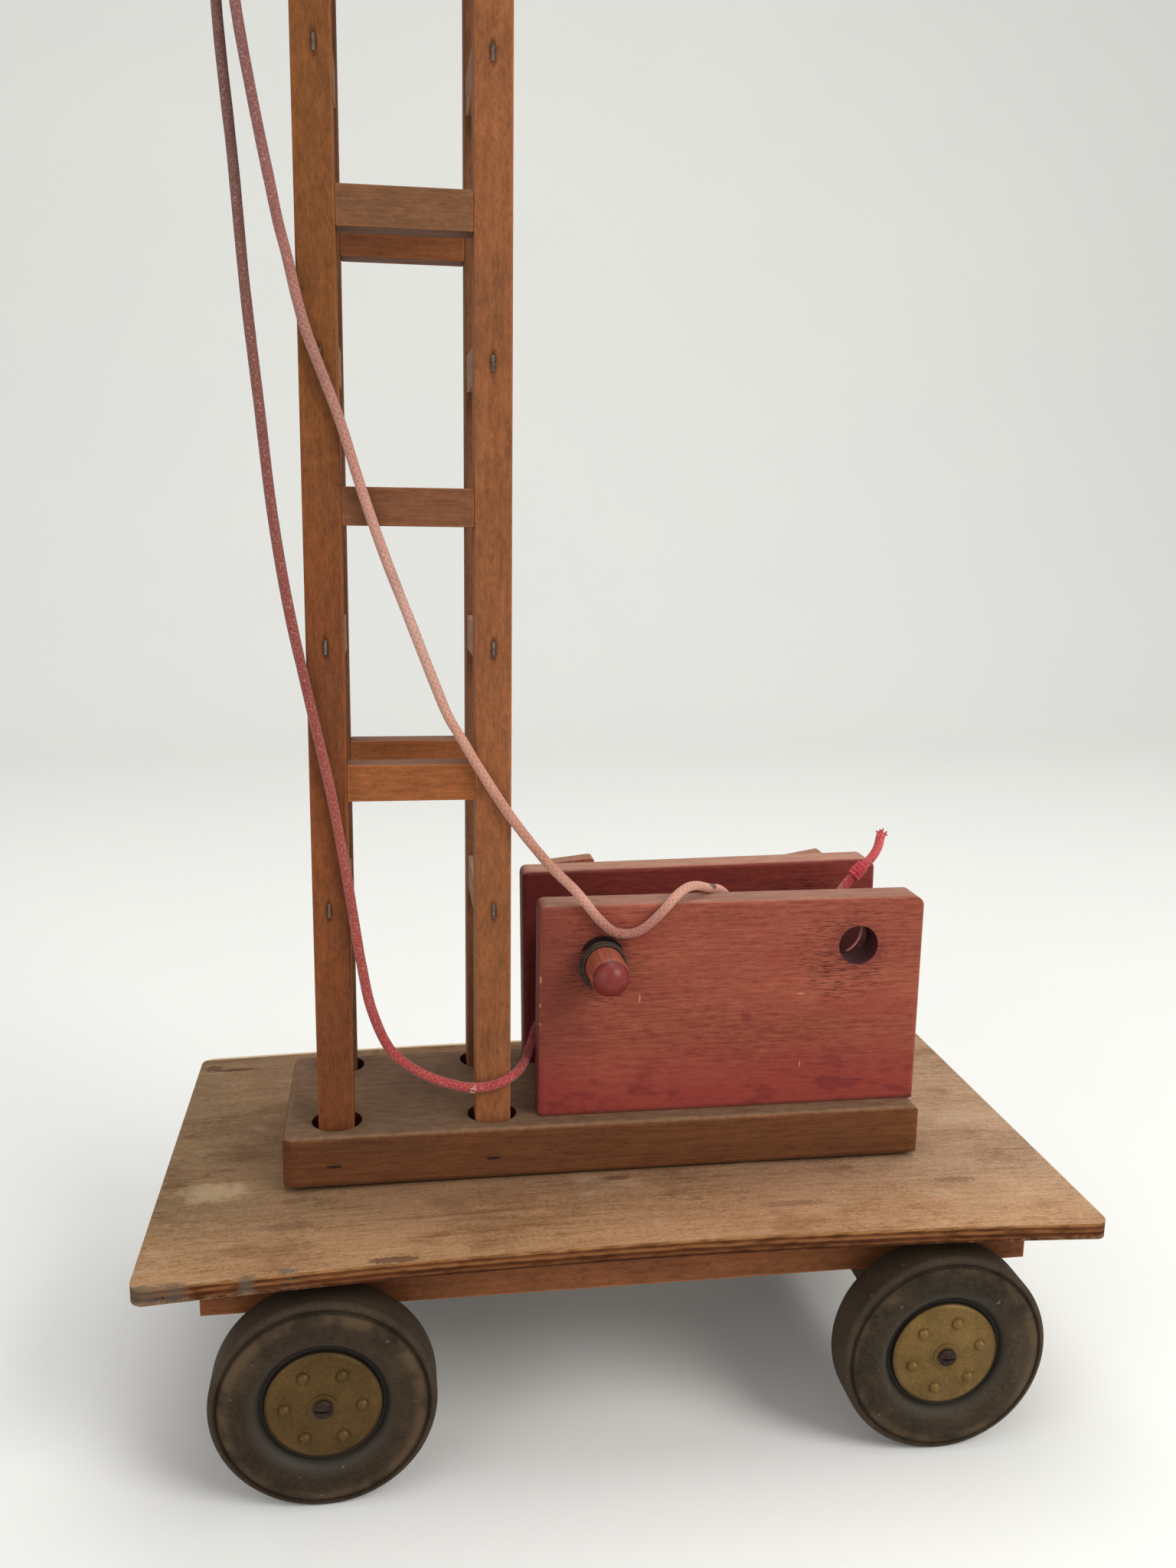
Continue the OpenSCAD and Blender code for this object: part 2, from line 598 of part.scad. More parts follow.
module knob_left() { at_crank(axis0, crank_tilt0) knob(); }
module knob_right() { at_crank(axis1, crank_tilt1) knob(); }
module ring_left() {
    color([0.16, 0.17, 0.17]) for (k = [0, 1])
        translate([axis0[0], -plate_y0 - 3.5 - k * ring_pitch, axis0[2]]) rotate([90, 0, 0])
            rotate_extrude($fn = 64) translate([shaft_r + ring_r, 0]) circle(ring_r, $fn = 24);
}
// The luff cord's turns: one tube, its two ends straight for one diameter.
wind_r = shaft_r + cord_r + 0.1;
wind_y = plate_f + cord_r + 1.2;
function wind_at(a, up) = [axis0 + [-wind_r * cos(a), wind_y + turn_pitch * a / 360, wind_r * sin(a) + up],
    [0, 1, 0], [-cos(a), 0, sin(a)]];
winding = concat([wind_at(0, -cord_d)], [for (i = [0:24 * turns]) wind_at(i * 15, 0)],
    [wind_at(360 * turns, cord_d)]);
least_gap = min([for (i = [0:len(winding) - 1]) for (j = [i + 12:1:len(winding) - 1])
    norm(winding[i][0] - winding[j][0])]) - cord_d;
echo(least_gap_between_turns = least_gap);
module luff_winding() { color([0.72, 0.25, 0.27]) sweep(winding, cord_r, 6); }

// Head, pulleys and jib.
module head_cheeks() {
    color([0.58, 0.4, 0.24]) for (y0 = [-leg_in, cheek_y]) difference() {
        seen_from_front(y0, y0 + cheek_t) {
            translate([head[0], head[2]]) circle(cheek_h / 2, $fn = 64);
            translate([head[0], head[2] - cheek_h / 2])
                square([leg_x1 + batten / 2 - head[0], cheek_h]);
        }
        along_y(head[0], head[2], pin_r, y0 - 1, y0 + cheek_t + 1);
    }
}
module head_axle() { color([0.7, 0.6, 0.45]) along_y(head[0], head[2], pin_r, -leg_in - 3, leg_in + 3); }
module sheave(c, y) {
    color([0.62, 0.45, 0.28]) translate([c[0], y, c[2]]) rotate([90, 0, 0]) rotate_extrude($fn = 96)
        difference() {
            translate([pin_r + run, -sheave_t / 2]) square([sheave_r - pin_r - run, sheave_t]);
            translate([lay_r, 0]) circle(groove_r, $fn = 48);
            translate([lay_r, -groove_r]) square([sheave_r, 2 * groove_r]);
        }
}
module sheave_hoist() { sheave(head, -sheave_y); }
module sheave_luff() { sheave(head, sheave_y); }
module jib_pin() { color([0.7, 0.6, 0.45]) along_y(hinge[0], hinge[2], dowel_r, -dowel_end, dowel_end); }
module jib_stop() { color([0.7, 0.6, 0.45]) along_y(leg_x1, stop_z, dowel_r, -dowel_end, dowel_end); }
module jib_rail(y0) {
    h = batten / 2;
    color([0.6, 0.39, 0.21]) difference() {
        seen_from_front(y0, y0 + batten) {
            translate([tip[0], hinge[2] - h]) square([jib_l + jib_tail, batten]);
            translate([tip[0], hinge[2]]) circle(h, $fn = 64);
        }
        along_y(hinge[0], hinge[2], dowel_r + run, y0 - 1, y0 + batten + 1);
        along_y(tip[0], tip[2], pin_r, y0 - 1, y0 + batten + 1);
    }
}
module jib_rail_front() { jib_rail(-jib_y - batten); }
module jib_rail_back() { jib_rail(jib_y); }
module jib_rungs() {
    color([0.56, 0.36, 0.2]) for (k = [0:jib_rung_n - 1])
        translate([rung_x + k * jib_rung_pitch - rung_d / 2, -jib_y, hinge[2] - batten / 2])
            cube([rung_d, 2 * jib_y, batten]);
}
module tip_axle() {
    color([0.7, 0.6, 0.45]) along_y(tip[0], tip[2], pin_r, -jib_y - batten, jib_y + batten);
}
module tip_sheave() {
    l = jib_y - 0.4;
    color([0.62, 0.45, 0.28]) translate([tip[0], 0, tip[2]]) rotate([90, 0, 0]) rotate_extrude($fn = 96)
        difference() {
            union() {
                translate([pin_r + run, -l]) square([roller_r - pin_r - run, 2 * l]);
                translate([pin_r + run, sheave_y - sheave_t / 2]) square([sheave_r - pin_r - run, sheave_t]);
            }
            translate([lay_r, sheave_y]) circle(groove_r, $fn = 48);
            translate([lay_r, sheave_y - groove_r]) square([sheave_r, 2 * groove_r]);
        }
}

// Cords between the pulleys, the hook and its weight.
to_tip = atan2(head[2] - tip[2], head[0] - tip[0]);
hoist_a = 90 + to_tip;
tie = [rung_x, sheave_y, hinge[2] + batten / 2 + 0.3];
to_tie = atan2(head[2] - tie[2] - 4, head[0] - tie[0] - 5);
luff_a = 90 + to_tie + asin(lay_r / norm([head[0] - tie[0] - 5, head[2] - tie[2] - 4]));
module tip_wrap() {
    color([0.76, 0.5, 0.42])
        cord([for (i = [0:4]) lay(tip, -sheave_y, hoist_a + 1.6 + (178.4 - hoist_a) * i / 4)]);
}
module hook_fall() {
    color([0.76, 0.5, 0.42])
        cord([for (i = [0:3]) [fall_x, -sheave_y, tip[2] + (weight_z + 0.3 - tip[2]) * i / 3]]);
}
module hook_weight() {
    color([0.3, 0.3, 0.3]) translate([fall_x, -sheave_y, weight_z - weight_h]) difference() {
        rotate_extrude($fn = 64) intersection() {
            outline(-weight_r, 0, weight_r, weight_h, [3, 3, 3, 3]);
            square([weight_r, weight_h]);
        }
        translate([0, 0, -1]) cylinder(r = shank_r, h = 9, $fn = 48);
    }
}
module hook() {
    r = hook_r + wire_r;
    color([0.5, 0.5, 0.5]) translate([fall_x, -sheave_y, hook_z]) {
        translate([0, 0, r - shank_r]) cylinder(r = shank_r,
            h = weight_z - weight_h + 8 - hook_z - r + shank_r, $fn = 48);
        difference() {
            rotate([90, 0, 0]) rotate_extrude($fn = 64) translate([r, 0]) circle(wire_r, $fn = 32);
            translate([0, -5, 0]) cube([20, 10, 20]);
        }
    }
}
module luff_cord() {
    x = head[0] + lay_r;
    color([0.6, 0.3, 0.28]) cord(concat([lay(head, sheave_y, 0)], [for (p = luff_route) p + [x, 0, 0]],
        [axis0 + [-wind_r, wind_y, -cord_d - 6], axis0 + [-wind_r, wind_y, -cord_d - 0.3]]));
}
module hoist_cord() {
    x = head[0] + lay_r;
    color([0.76, 0.5, 0.42]) cord(concat([lay(head, -sheave_y, 0)], [for (p = hoist_route) p + [x, 0, 0]]));
}
module luff_span() {
    color([0.6, 0.3, 0.28]) cord(concat([for (i = [0:6]) lay(head, sheave_y, luff_a * i / 6)],
        [tie + [9, 0, 5.2], tie + [3, 0, 3.4], tie + [0, 0, 2], tie]));
}
module hoist_span() {
    color([0.76, 0.5, 0.42]) cord(concat([for (i = [0:6]) lay(head, -sheave_y, hoist_a * i / 6)],
        [lay(tip, -sheave_y, hoist_a)]));
}

deck();
rail_front();
rail_back();
axle_beam_left();
axle_beam_right();
axle_screws();
tyre_lf();
tyre_lb();
tyre_rf();
tyre_rb();
discs_lf();
discs_lb();
discs_rf();
discs_rb();
bush_lf();
bush_lb();
bush_rf();
bush_rb();
base_block();
slew_washer();
slew_bolt();
slew_nut();
leg_lf();
leg_lb();
leg_rf();
leg_rb();
rungs_front();
rungs_back();
rungs_left();
rungs_right();
plate_front();
plate_back();
head_cheeks();
head_axle();
jib_pin();
jib_stop();
shaft_left();
crank_left();
knob_left();
ring_left();
luff_winding();
shaft_right();
crank_right();
knob_right();
sheave_hoist();
sheave_luff();
jib_rail_front();
jib_rail_back();
jib_rungs();
tip_axle();
tip_sheave();
tip_wrap();
hook_fall();
hook_weight();
hook();
luff_cord();
hoist_cord();
luff_span();
hoist_span();
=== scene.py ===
import math

import bmesh
import bpy
import numpy as np
from mathutils import Matrix, Vector

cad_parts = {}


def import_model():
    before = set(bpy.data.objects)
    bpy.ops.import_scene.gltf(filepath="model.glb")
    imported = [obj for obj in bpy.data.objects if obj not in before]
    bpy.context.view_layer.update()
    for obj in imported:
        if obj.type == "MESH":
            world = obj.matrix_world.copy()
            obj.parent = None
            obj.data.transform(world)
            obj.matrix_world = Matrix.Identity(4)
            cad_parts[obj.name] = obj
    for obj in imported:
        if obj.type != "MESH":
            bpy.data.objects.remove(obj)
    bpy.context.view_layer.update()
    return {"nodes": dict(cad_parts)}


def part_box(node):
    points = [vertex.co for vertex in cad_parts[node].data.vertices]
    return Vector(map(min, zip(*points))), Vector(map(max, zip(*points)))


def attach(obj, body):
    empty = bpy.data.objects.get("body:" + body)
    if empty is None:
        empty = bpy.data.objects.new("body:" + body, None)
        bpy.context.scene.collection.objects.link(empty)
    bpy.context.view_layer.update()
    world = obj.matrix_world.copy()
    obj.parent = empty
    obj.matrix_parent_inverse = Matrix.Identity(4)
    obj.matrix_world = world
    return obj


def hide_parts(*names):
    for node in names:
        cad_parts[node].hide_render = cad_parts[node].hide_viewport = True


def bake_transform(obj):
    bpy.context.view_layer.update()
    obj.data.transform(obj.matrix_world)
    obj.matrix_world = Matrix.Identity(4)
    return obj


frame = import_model()
NODES = frame["nodes"]
RNG = np.random.default_rng(7)
MM = 0.001


def point(*p):
    """A point given in millimetres, in metres."""
    return Vector([c * MM for c in p])


# The CAD's places, in millimetres: the block's top, the legs' and axles' x, the wheels' height, the two winch
# axes, the head's pulleys and the jib's tip.
BLOCK_TOP = 112.2
LEG_X = (-103.5, -45.5)
AXLE_X = (-107.5, 114.5)
AXLE_Z = 38.5
LEFT_AXIS = (-5.0, 0.0, 173.4)
RIGHT_AXIS = (94.5, 0.0, 175.9)
HEAD = (-144.0, 0.0, 593.5)
TIP = (-353.5, 0.0, 532.5)
# A cord's diameter, and how far its middle lies from the axis of a pulley that carries it.
CORD_D = 3.6
LAY = 10.1

# The photograph's camera: its place in millimetres, angles in radians, focal length and height in pixels.
CAMERA_PLACE = (-82.636, -497.107, 334.428)
YAW, PITCH, ROLL = 0.1523, 0.1971, 0.0149
FOCAL_LENGTH = 1733.41
FRAME_HEIGHT = 2048.0
SENSOR_W, SENSOR_H = 27.0, 36.0


def camera():
    ahead = Vector((math.sin(YAW), math.cos(YAW), 0))
    level = Vector((math.cos(YAW), -math.sin(YAW), 0))
    plumb = Vector((0, 0, 1))
    forward = math.cos(PITCH) * ahead - math.sin(PITCH) * plumb
    above = math.sin(PITCH) * ahead + math.cos(PITCH) * plumb
    right = math.cos(ROLL) * level + math.sin(ROLL) * above
    up = -math.sin(ROLL) * level + math.cos(ROLL) * above
    data = bpy.data.cameras.new("camera")
    data.sensor_fit = "VERTICAL"
    data.sensor_height = SENSOR_H
    data.sensor_width = SENSOR_W
    data.lens = FOCAL_LENGTH * SENSOR_H / FRAME_HEIGHT
    data.clip_start = 0.02
    data.clip_end = 30
    cam = bpy.data.objects.new("camera", data)
    turn = Matrix((right, up, -forward)).transposed()
    cam.matrix_world = Matrix.Translation(point(*CAMERA_PLACE)) @ turn.to_4x4()
    bpy.context.scene.collection.objects.link(cam)
    bpy.context.scene.camera = cam


class Mat:
    """A Principled material with helpers for its nodes.

    x, y and z are a point's place in millimetres, and nx, ny and nz its normal. Masks run from 0 to 1.
    """

    def __init__(self, name, rough, spec, metal=0.0, sheen=0.0):
        self.mat = bpy.data.materials.new(name)
        self.mat.use_nodes = True
        self.tree = self.mat.node_tree
        self.shader = self.tree.nodes["Principled BSDF"]
        self.shader.inputs["Roughness"].default_value = rough
        self.shader.inputs["Specular IOR Level"].default_value = spec
        self.shader.inputs["Metallic"].default_value = metal
        self.shader.inputs["Sheen Weight"].default_value = sheen
        self.normal = None
        place = self.node("ShaderNodeTexCoord").outputs["Object"]
        self.place = self.vector("MULTIPLY", place, (1000, 1000, 1000))
        parts = self.node("ShaderNodeSeparateXYZ")
        self.link(self.place, parts.inputs[0])
        self.x, self.y, self.z = parts.outputs
        geometry = self.node("ShaderNodeNewGeometry")
        parts = self.node("ShaderNodeSeparateXYZ")
        self.link(geometry.outputs["Normal"], parts.inputs[0])
        self.nx, self.ny, self.nz = parts.outputs

    def node(self, kind, **props):
        n = self.tree.nodes.new(kind)
        for k, val in props.items():
            setattr(n, k, val)
        return n

    def link(self, a, b):
        self.tree.links.new(a, b)

    def put(self, sock, val):
        """Sets a socket to a number or colour, or links a value to it."""
        if isinstance(val, (int, float)):
            sock.default_value = val
        elif isinstance(val, (tuple, list)):
            sock.default_value = tuple(val) + ((1.0,) if len(sock.default_value) > len(val) else ())
        else:
            self.link(val, sock)

    def math(self, op, a, b=0.0, c=0.0):
        n = self.node("ShaderNodeMath", operation=op)
        for s, val in zip(n.inputs, (a, b, c)):
            self.put(s, val)
        return n.outputs[0]

    def mul(self, a, b):
        return self.math("MULTIPLY", a, b)

    def plus(self, a, b):
        return self.math("ADD", a, b)

    def minus(self, a, b):
        return self.math("SUBTRACT", a, b)

    def swing(self, val, reach):
        """A noise moved to lie round 0, times a reach."""
        return self.mul(self.minus(val, 0.5), reach)

    def sum(self, *terms):
        """A weighted sum of values: pairs of a weight and a value."""
        total = self.mul(terms[0][1], terms[0][0])
        for w, val in terms[1:]:
            total = self.math("MULTIPLY_ADD", val, w, total)
        return total

    def radius(self, x, z):
        """The distance from a line along Y at (x, z)."""
        across = self.math("POWER", self.minus(self.x, x), 2)
        high = self.math("POWER", self.minus(self.z, z), 2)
        return self.math("SQRT", self.plus(across, high))

    def vector(self, op, a, b):
        n = self.node("ShaderNodeVectorMath", operation=op)
        self.put(n.inputs[0], a)
        self.put(n.inputs[1], b)
        return n.outputs[0]

    def noise(self, scale, detail, rough=0.55, shift=(0, 0, 0), twist=0.0):
        """Noise by place; its scale is one number, or one for each axis."""
        if isinstance(scale, (int, float)):
            scale = (scale,) * 3
        place = self.vector("ADD", self.vector("MULTIPLY", self.place, scale), shift)
        n = self.node("ShaderNodeTexNoise")
        self.put(n.inputs["Vector"], place)
        n.inputs["Scale"].default_value = 1.0
        n.inputs["Detail"].default_value = detail
        n.inputs["Roughness"].default_value = rough
        n.inputs["Distortion"].default_value = twist
        return n.outputs[0]

    def ramp(self, fac, stops, linear=True):
        n = self.node("ShaderNodeValToRGB")
        n.color_ramp.interpolation = "LINEAR" if linear else "CONSTANT"
        el = n.color_ramp.elements
        while len(el) < len(stops):
            el.new(0.5)
        for e, (pos, col) in zip(el, stops):
            e.position = pos
            e.color = (col, col, col, 1) if isinstance(col, (int, float)) else tuple(col) + (1,)
        self.put(n.inputs[0], fac)
        return n.outputs[0]

    def step(self, val, lo, hi):
        """0 at lo, 1 at hi, smooth between; lo may be above hi."""
        n = self.node("ShaderNodeMapRange", interpolation_type="SMOOTHSTEP")
        flip = lo > hi
        self.put(n.inputs["Value"], val)
        n.inputs["From Min"].default_value = min(lo, hi)
        n.inputs["From Max"].default_value = max(lo, hi)
        n.inputs["To Min"].default_value = 1.0 if flip else 0.0
        n.inputs["To Max"].default_value = 0.0 if flip else 1.0
        return n.outputs[0]

    def mix(self, fac, a, b, mode="MIX"):
        n = self.node("ShaderNodeMix", data_type="RGBA", blend_type=mode)
        n.clamp_factor = True
        self.put(n.inputs[0], fac)
        self.put(n.inputs[6], a)
        self.put(n.inputs[7], b)
        return n.outputs[2]

    def tint(self, fac, col, tone):
        """The colour moved towards a multiple of itself."""
        return self.mix(fac, col, self.mix(1.0, col, tone, "MULTIPLY"))

    def near(self, x, z, r0, r1):
        """1 within r0 of a line along Y at (x, z), 0 beyond r1."""
        return self.step(self.radius(x, z), r1, r0)

    def facing_front(self):
        """1 where the surface faces the front, 0 where it faces elsewhere."""
        return self.step(self.ny, -0.5, -0.9)

    def spot(self, x, y, z, rx, ry, rz, rag, soft=0.5):
        """1 inside a ragged ellipsoid round a point, 0 outside; a radius of 0 leaves its axis out."""
        d = 0.0
        for c, middle, r in ((self.x, x, rx), (self.y, y, ry), (self.z, z, rz)):
            if r:
                d = self.plus(self.math("POWER", self.math("DIVIDE", self.minus(c, middle), r), 2), d)
        finest = max(1.0, min(r for r in (rx, ry, rz) if r))
        ragged = self.noise(1.5 / finest, 3, shift=(x, y, z))
        d = self.plus(self.math("SQRT", d), self.swing(ragged, 2 * rag))
        return self.step(d, 1 + soft / 2, 1 - soft / 2)

    def edge(self, box, width, rag=0.5):
        """How close a point of a box is to one of its edges: 1 on the edge, 0 at width."""
        depth = []
        for c, a, b in zip((self.x, self.y, self.z), *box):
            mid, half = (a + b) / 2, (b - a) / 2
            depth.append(self.minus(half, self.math("ABSOLUTE", self.minus(c, mid))))
        low, high = self.math("MINIMUM", *depth[:2]), self.math("MAXIMUM", *depth[:2])
        second = self.math("MAXIMUM", low, self.math("MINIMUM", high, depth[2]))
        ragged = self.swing(self.noise(0.35, 4), width * 2 * rag)
        return self.step(self.plus(second, ragged), width, 0.0)

    def base(self):
        """The colour that is linked to the shader so far."""
        return self.shader.inputs["Base Color"].links[0].from_socket

    def color(self, c):
        self.link(c, self.shader.inputs["Base Color"])
        return self

    def rough(self, r):
        self.link(r, self.shader.inputs["Roughness"])
        return self

    def bump(self, height, strength, dist):
        """Adds a bump, with its distance in millimetres, on top of those before it."""
        n = self.node("ShaderNodeBump")
        n.inputs["Strength"].default_value = strength
        n.inputs["Distance"].default_value = dist * MM
        self.put(n.inputs["Height"], height)
        if self.normal is not None:
            self.link(self.normal, n.inputs["Normal"])
        self.normal = n.outputs[0]
        self.link(self.normal, self.shader.inputs["Normal"])
        return self


def rgb(*c):
    """An sRGB colour from 0 to 255 as linear values."""
    return tuple((x / 255 / 12.92) if x <= 10 else ((x / 255 + 0.055) / 1.055) ** 2.4 for x in c)


def grain_scale(axis, long, across):
    s = [across] * 3
    s[axis] = long
    return tuple(s)


def shades(mid, dark, light):
    """Three linear tones round an sRGB colour."""
    c = rgb(*mid)
    return tuple(x * dark for x in c), c, tuple(x * light for x in c)


def times(col, factor):
    """An sRGB colour as linear values, times a factor."""
    return tuple(factor * c for c in rgb(*col))


# How far the wood's tone spreads round its middle, how dark the painted shade on its underside is, and how
# dark its slow blotches are.
SPREAD = 0.1
UNDERSIDE_SHADE = 0.35
BLOTCH = 0.2


def wood(name, axis, mid, dash=None, dash_amount=0.5, edge=None, edge_col=None, edge_w=1.5, edge_amount=0.6,
         top=None, rough=0.68, shift=(0, 0, 0), band=0.15, lines=0.25):
    """Worn wood: bands and lines along an axis, pores and a fine mottle round one sRGB tone.

    dash is the colour of short dark dashes, edge the box whose edges are worn, and top the colour and amount
    of the dust on upper faces.
    """
    m = Mat(name, rough, 0.14)
    wave = m.noise(grain_scale(axis, 0.006, 0.06), 2, 0.5, shift, 0.4)
    fibre = m.noise(grain_scale(axis, 0.04, 0.9), 4, 0.6, shift, 0.2)
    mottle = m.noise(grain_scale(axis, 0.13, 0.32), 6, 0.72, shift)
    pores = m.noise(grain_scale(axis, 0.45, 1.3), 4, 0.7, shift)
    rest = (1 - band - lines) / 2
    f = m.sum((band, wave), (lines, fibre), (rest, mottle), (rest, pores))
    col = m.ramp(f, list(zip((0.5 - SPREAD, 0.5, 0.5 + SPREAD), shades(mid, 0.68, 1.34))))
    if dash is not None:
        mask = m.step(m.noise(grain_scale(axis, 0.14, 1.9), 2, 0.5, (5, 3, 1)), 0.6, 0.7)
        col = m.mix(m.mul(mask, dash_amount), col, dash)
        m.bump(mask, 0.25, -0.15)
    if top is not None:
        upper = m.mul(m.step(m.nz, 0.5, 0.95), top[1])
        col = m.mix(upper, col, m.tint(m.step(mottle, 0.4, 0.6), top[0], (0.7,) * 3))
    # Faces that look down are darkened: painted shade on the underside.
    col = m.tint(m.mul(m.step(m.nz, -0.4, -0.9), UNDERSIDE_SHADE), col, (0.3, 0.3, 0.3))
    slow = m.noise(0.02, 4, 0.6)
    col = m.mix(m.step(slow, 0.35, 0.75), col, m.mix(BLOTCH, col, rgb(60, 45, 38)))
    if edge is not None:
        col = m.mix(m.mul(m.edge(edge, edge_w), edge_amount), col, edge_col)
    m.color(col)
    m.rough(m.ramp(fibre, [(0.3, rough + 0.12), (0.7, rough - 0.1)]))
    m.bump(fibre, 0.25, 0.2)
    m.bump(pores, 0.2, 0.15)
    return m


def box_mm(node):
    lo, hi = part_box(node)
    return [c * 1000 for c in lo], [c * 1000 for c in hi]


def dress(node, mat):
    """Puts a material on a CAD node."""
    o = NODES[node]
    o.data.materials.clear()
    o.data.materials.append(mat.mat)


def place(name, mesh, mat, body=None, slot=None):
    """Makes an object of a mesh, with its material and body; slot is not used."""
    mesh.materials.append(mat.mat)
    o = bpy.data.objects.new(name, mesh)
    bpy.context.scene.collection.objects.link(o)
    if body:
        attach(o, body)
    return o


def add(name, verts, faces, uvs, mat, body, slot):
    """A smooth piece from its points, in metres, its faces and a UV for each point."""
    mesh = bpy.data.meshes.new(name)
    mesh.from_pydata([tuple(p) for p in verts], [], faces)
    layer = mesh.uv_layers.new(name="UVMap")
    layer.data.foreach_set("uv", [c for f in faces for i in f for c in uvs[i]])
    mesh.polygons.foreach_set("use_smooth", [True] * len(mesh.polygons))
    mesh.update()
    return place(name, mesh, mat, body, slot)


def soft_box(name, lo, hi, mat, body, bevel, slot, cuts=6):
    """A box in millimetres with eased edges, cut across its longest side."""
    bm = bmesh.new()
    bmesh.ops.create_cube(bm, size=1.0)
    size = [b - a for a, b in zip(lo, hi)]
    mid = [(a + b) / 2 for a, b in zip(lo, hi)]
    for w in bm.verts:
        w.co = Vector([w.co[i] * size[i] for i in range(3)])
    bmesh.ops.bevel(bm, geom=bm.edges[:], offset=bevel, segments=3, affect="EDGES", profile=0.6)
    long = max(range(3), key=lambda i: size[i])
    normal = [0.0, 0.0, 0.0]
    normal[long] = 1.0
    for k in range(1, cuts):
        at = [0.0, 0.0, 0.0]
        at[long] = size[long] * (k / cuts - 0.5)
        everything = bm.verts[:] + bm.edges[:] + bm.faces[:]
        bmesh.ops.bisect_plane(bm, geom=everything, plane_co=at, plane_no=normal)
    for w in bm.verts:
        w.co = Vector([(w.co[i] + mid[i]) * MM for i in range(3)])
    mesh = bpy.data.meshes.new(name)
    bm.to_mesh(mesh)
    bm.free()
    return place(name, mesh, mat, body, slot)


# Cords.
def smooth_path(points, step):
    """A smooth line through points in millimetres, with a point every step."""
    p = np.array(points, float)
    d = np.concatenate([[0], np.cumsum(np.sqrt(np.linalg.norm(np.diff(p, axis=0), axis=1)))])
    out = []
    for i in range(len(p) - 1):
        p0 = p[i - 1] if i > 0 else 2 * p[0] - p[1]
        p3 = p[i + 2] if i + 2 < len(p) else 2 * p[-1] - p[-2]
        p1, p2 = p[i], p[i + 1]
        t1 = d[i + 1] - d[i]
        t0 = d[i] - d[i - 1] if i > 0 else t1
        t2 = d[i + 2] - d[i + 1] if i + 2 < len(p) else t1
        m1 = (p1 - p0) / t0 - (p2 - p0) / (t0 + t1) + (p2 - p1) / t1
        m2 = (p2 - p1) / t1 - (p3 - p1) / (t1 + t2) + (p3 - p2) / t2
        n = max(2, int(np.linalg.norm(p2 - p1) / step))
        for k in range(n):
            s = k / n
            h = (2 * s**3 - 3 * s**2 + 1, s**3 - 2 * s**2 + s, -2 * s**3 + 3 * s**2, s**3 - s**2)
            out.append(h[0] * p1 + h[1] * m1 * t1 + h[2] * p2 + h[3] * m2 * t1)
    out.append(p[-1])
    return np.array(out)


def tube_mesh(path, radius, sides, cap=True, uneven=0.0):
    """Points, faces and UVs of a tube along a path in millimetres.

    The radius may be a function of the share of the path's length.
    """
    path = np.array(path, float)
    length = np.concatenate([[0], np.cumsum(np.linalg.norm(np.diff(path, axis=0), axis=1))])
    tan = np.gradient(path, axis=0)
    tan /= np.linalg.norm(tan, axis=1)[:, None]
    ref = np.array([0.0, 1.0, 0.0]) if abs(tan[0][1]) < 0.9 else np.array([1.0, 0.0, 0.0])
    u = np.cross(ref, tan[0])
    u /= np.linalg.norm(u)
    verts, uvs = [], []
    wobble = RNG.normal(0, 1, len(path) + 8)
    wobble = np.convolve(wobble, np.ones(9) / 9, "valid") * 2
    for i, (c, t) in enumerate(zip(path, tan)):
        u = u - t * np.dot(u, t)
        u /= np.linalg.norm(u)
        w = np.cross(t, u)
        r = radius(length[i] / length[-1]) if callable(radius) else radius
        r *= 1 + uneven * wobble[i]
        for k in range(sides + 1):
            a = 2 * math.pi * k / sides
            verts.append((c + r * (math.cos(a) * u + math.sin(a) * w)) * MM)
            uvs.append((length[i] * MM, k / sides))
    n = sides + 1
    faces = [(i * n + k, i * n + k + 1, (i + 1) * n + k + 1, (i + 1) * n + k)
             for i in range(len(path) - 1) for k in range(sides)]
    if cap:
        faces += [tuple(range(sides - 1, -1, -1)), tuple((len(path) - 1) * n + k for k in range(sides))]
    return verts, faces, uvs


def tube(name, path, radius, mat, body, sides, slot, cap=True, uneven=0.0):
    verts, faces, uvs = tube_mesh(path, radius, sides, cap, uneven)
    return add(name, verts, faces, uvs, mat, body, slot)


def fibres(name, foot, heading, count, length, radius, spread, mat, slot):
    """A tuft of fine bent fibres that stand out of a cord, as one mesh."""
    verts, faces, uvs = [], [], []
    foot, heading = np.array(foot, float), np.array(heading, float)
    for _ in range(count):
        start = foot + RNG.normal(0, 0.5, 3)
        way = heading + RNG.normal(0, spread, 3)
        way /= np.linalg.norm(way)
        bend = RNG.normal(0, 0.35, 3)
        reach = length * RNG.uniform(0.6, 1.1)
        path = [start + reach * (t * way + t * t * bend) for t in np.linspace(0, 1, 7)]
        v1, f1, u1 = tube_mesh(path, lambda t: radius * (1 - 0.5 * t), 5)
        faces += [tuple(i + len(verts) for i in f) for f in f1]
        verts += v1
        uvs += u1
    return add(name, verts, faces, uvs, mat, "superstructure", slot)


# A braided cord's strands to the metre, and its crossings round it.
STRANDS = 420
CROSSINGS = 5


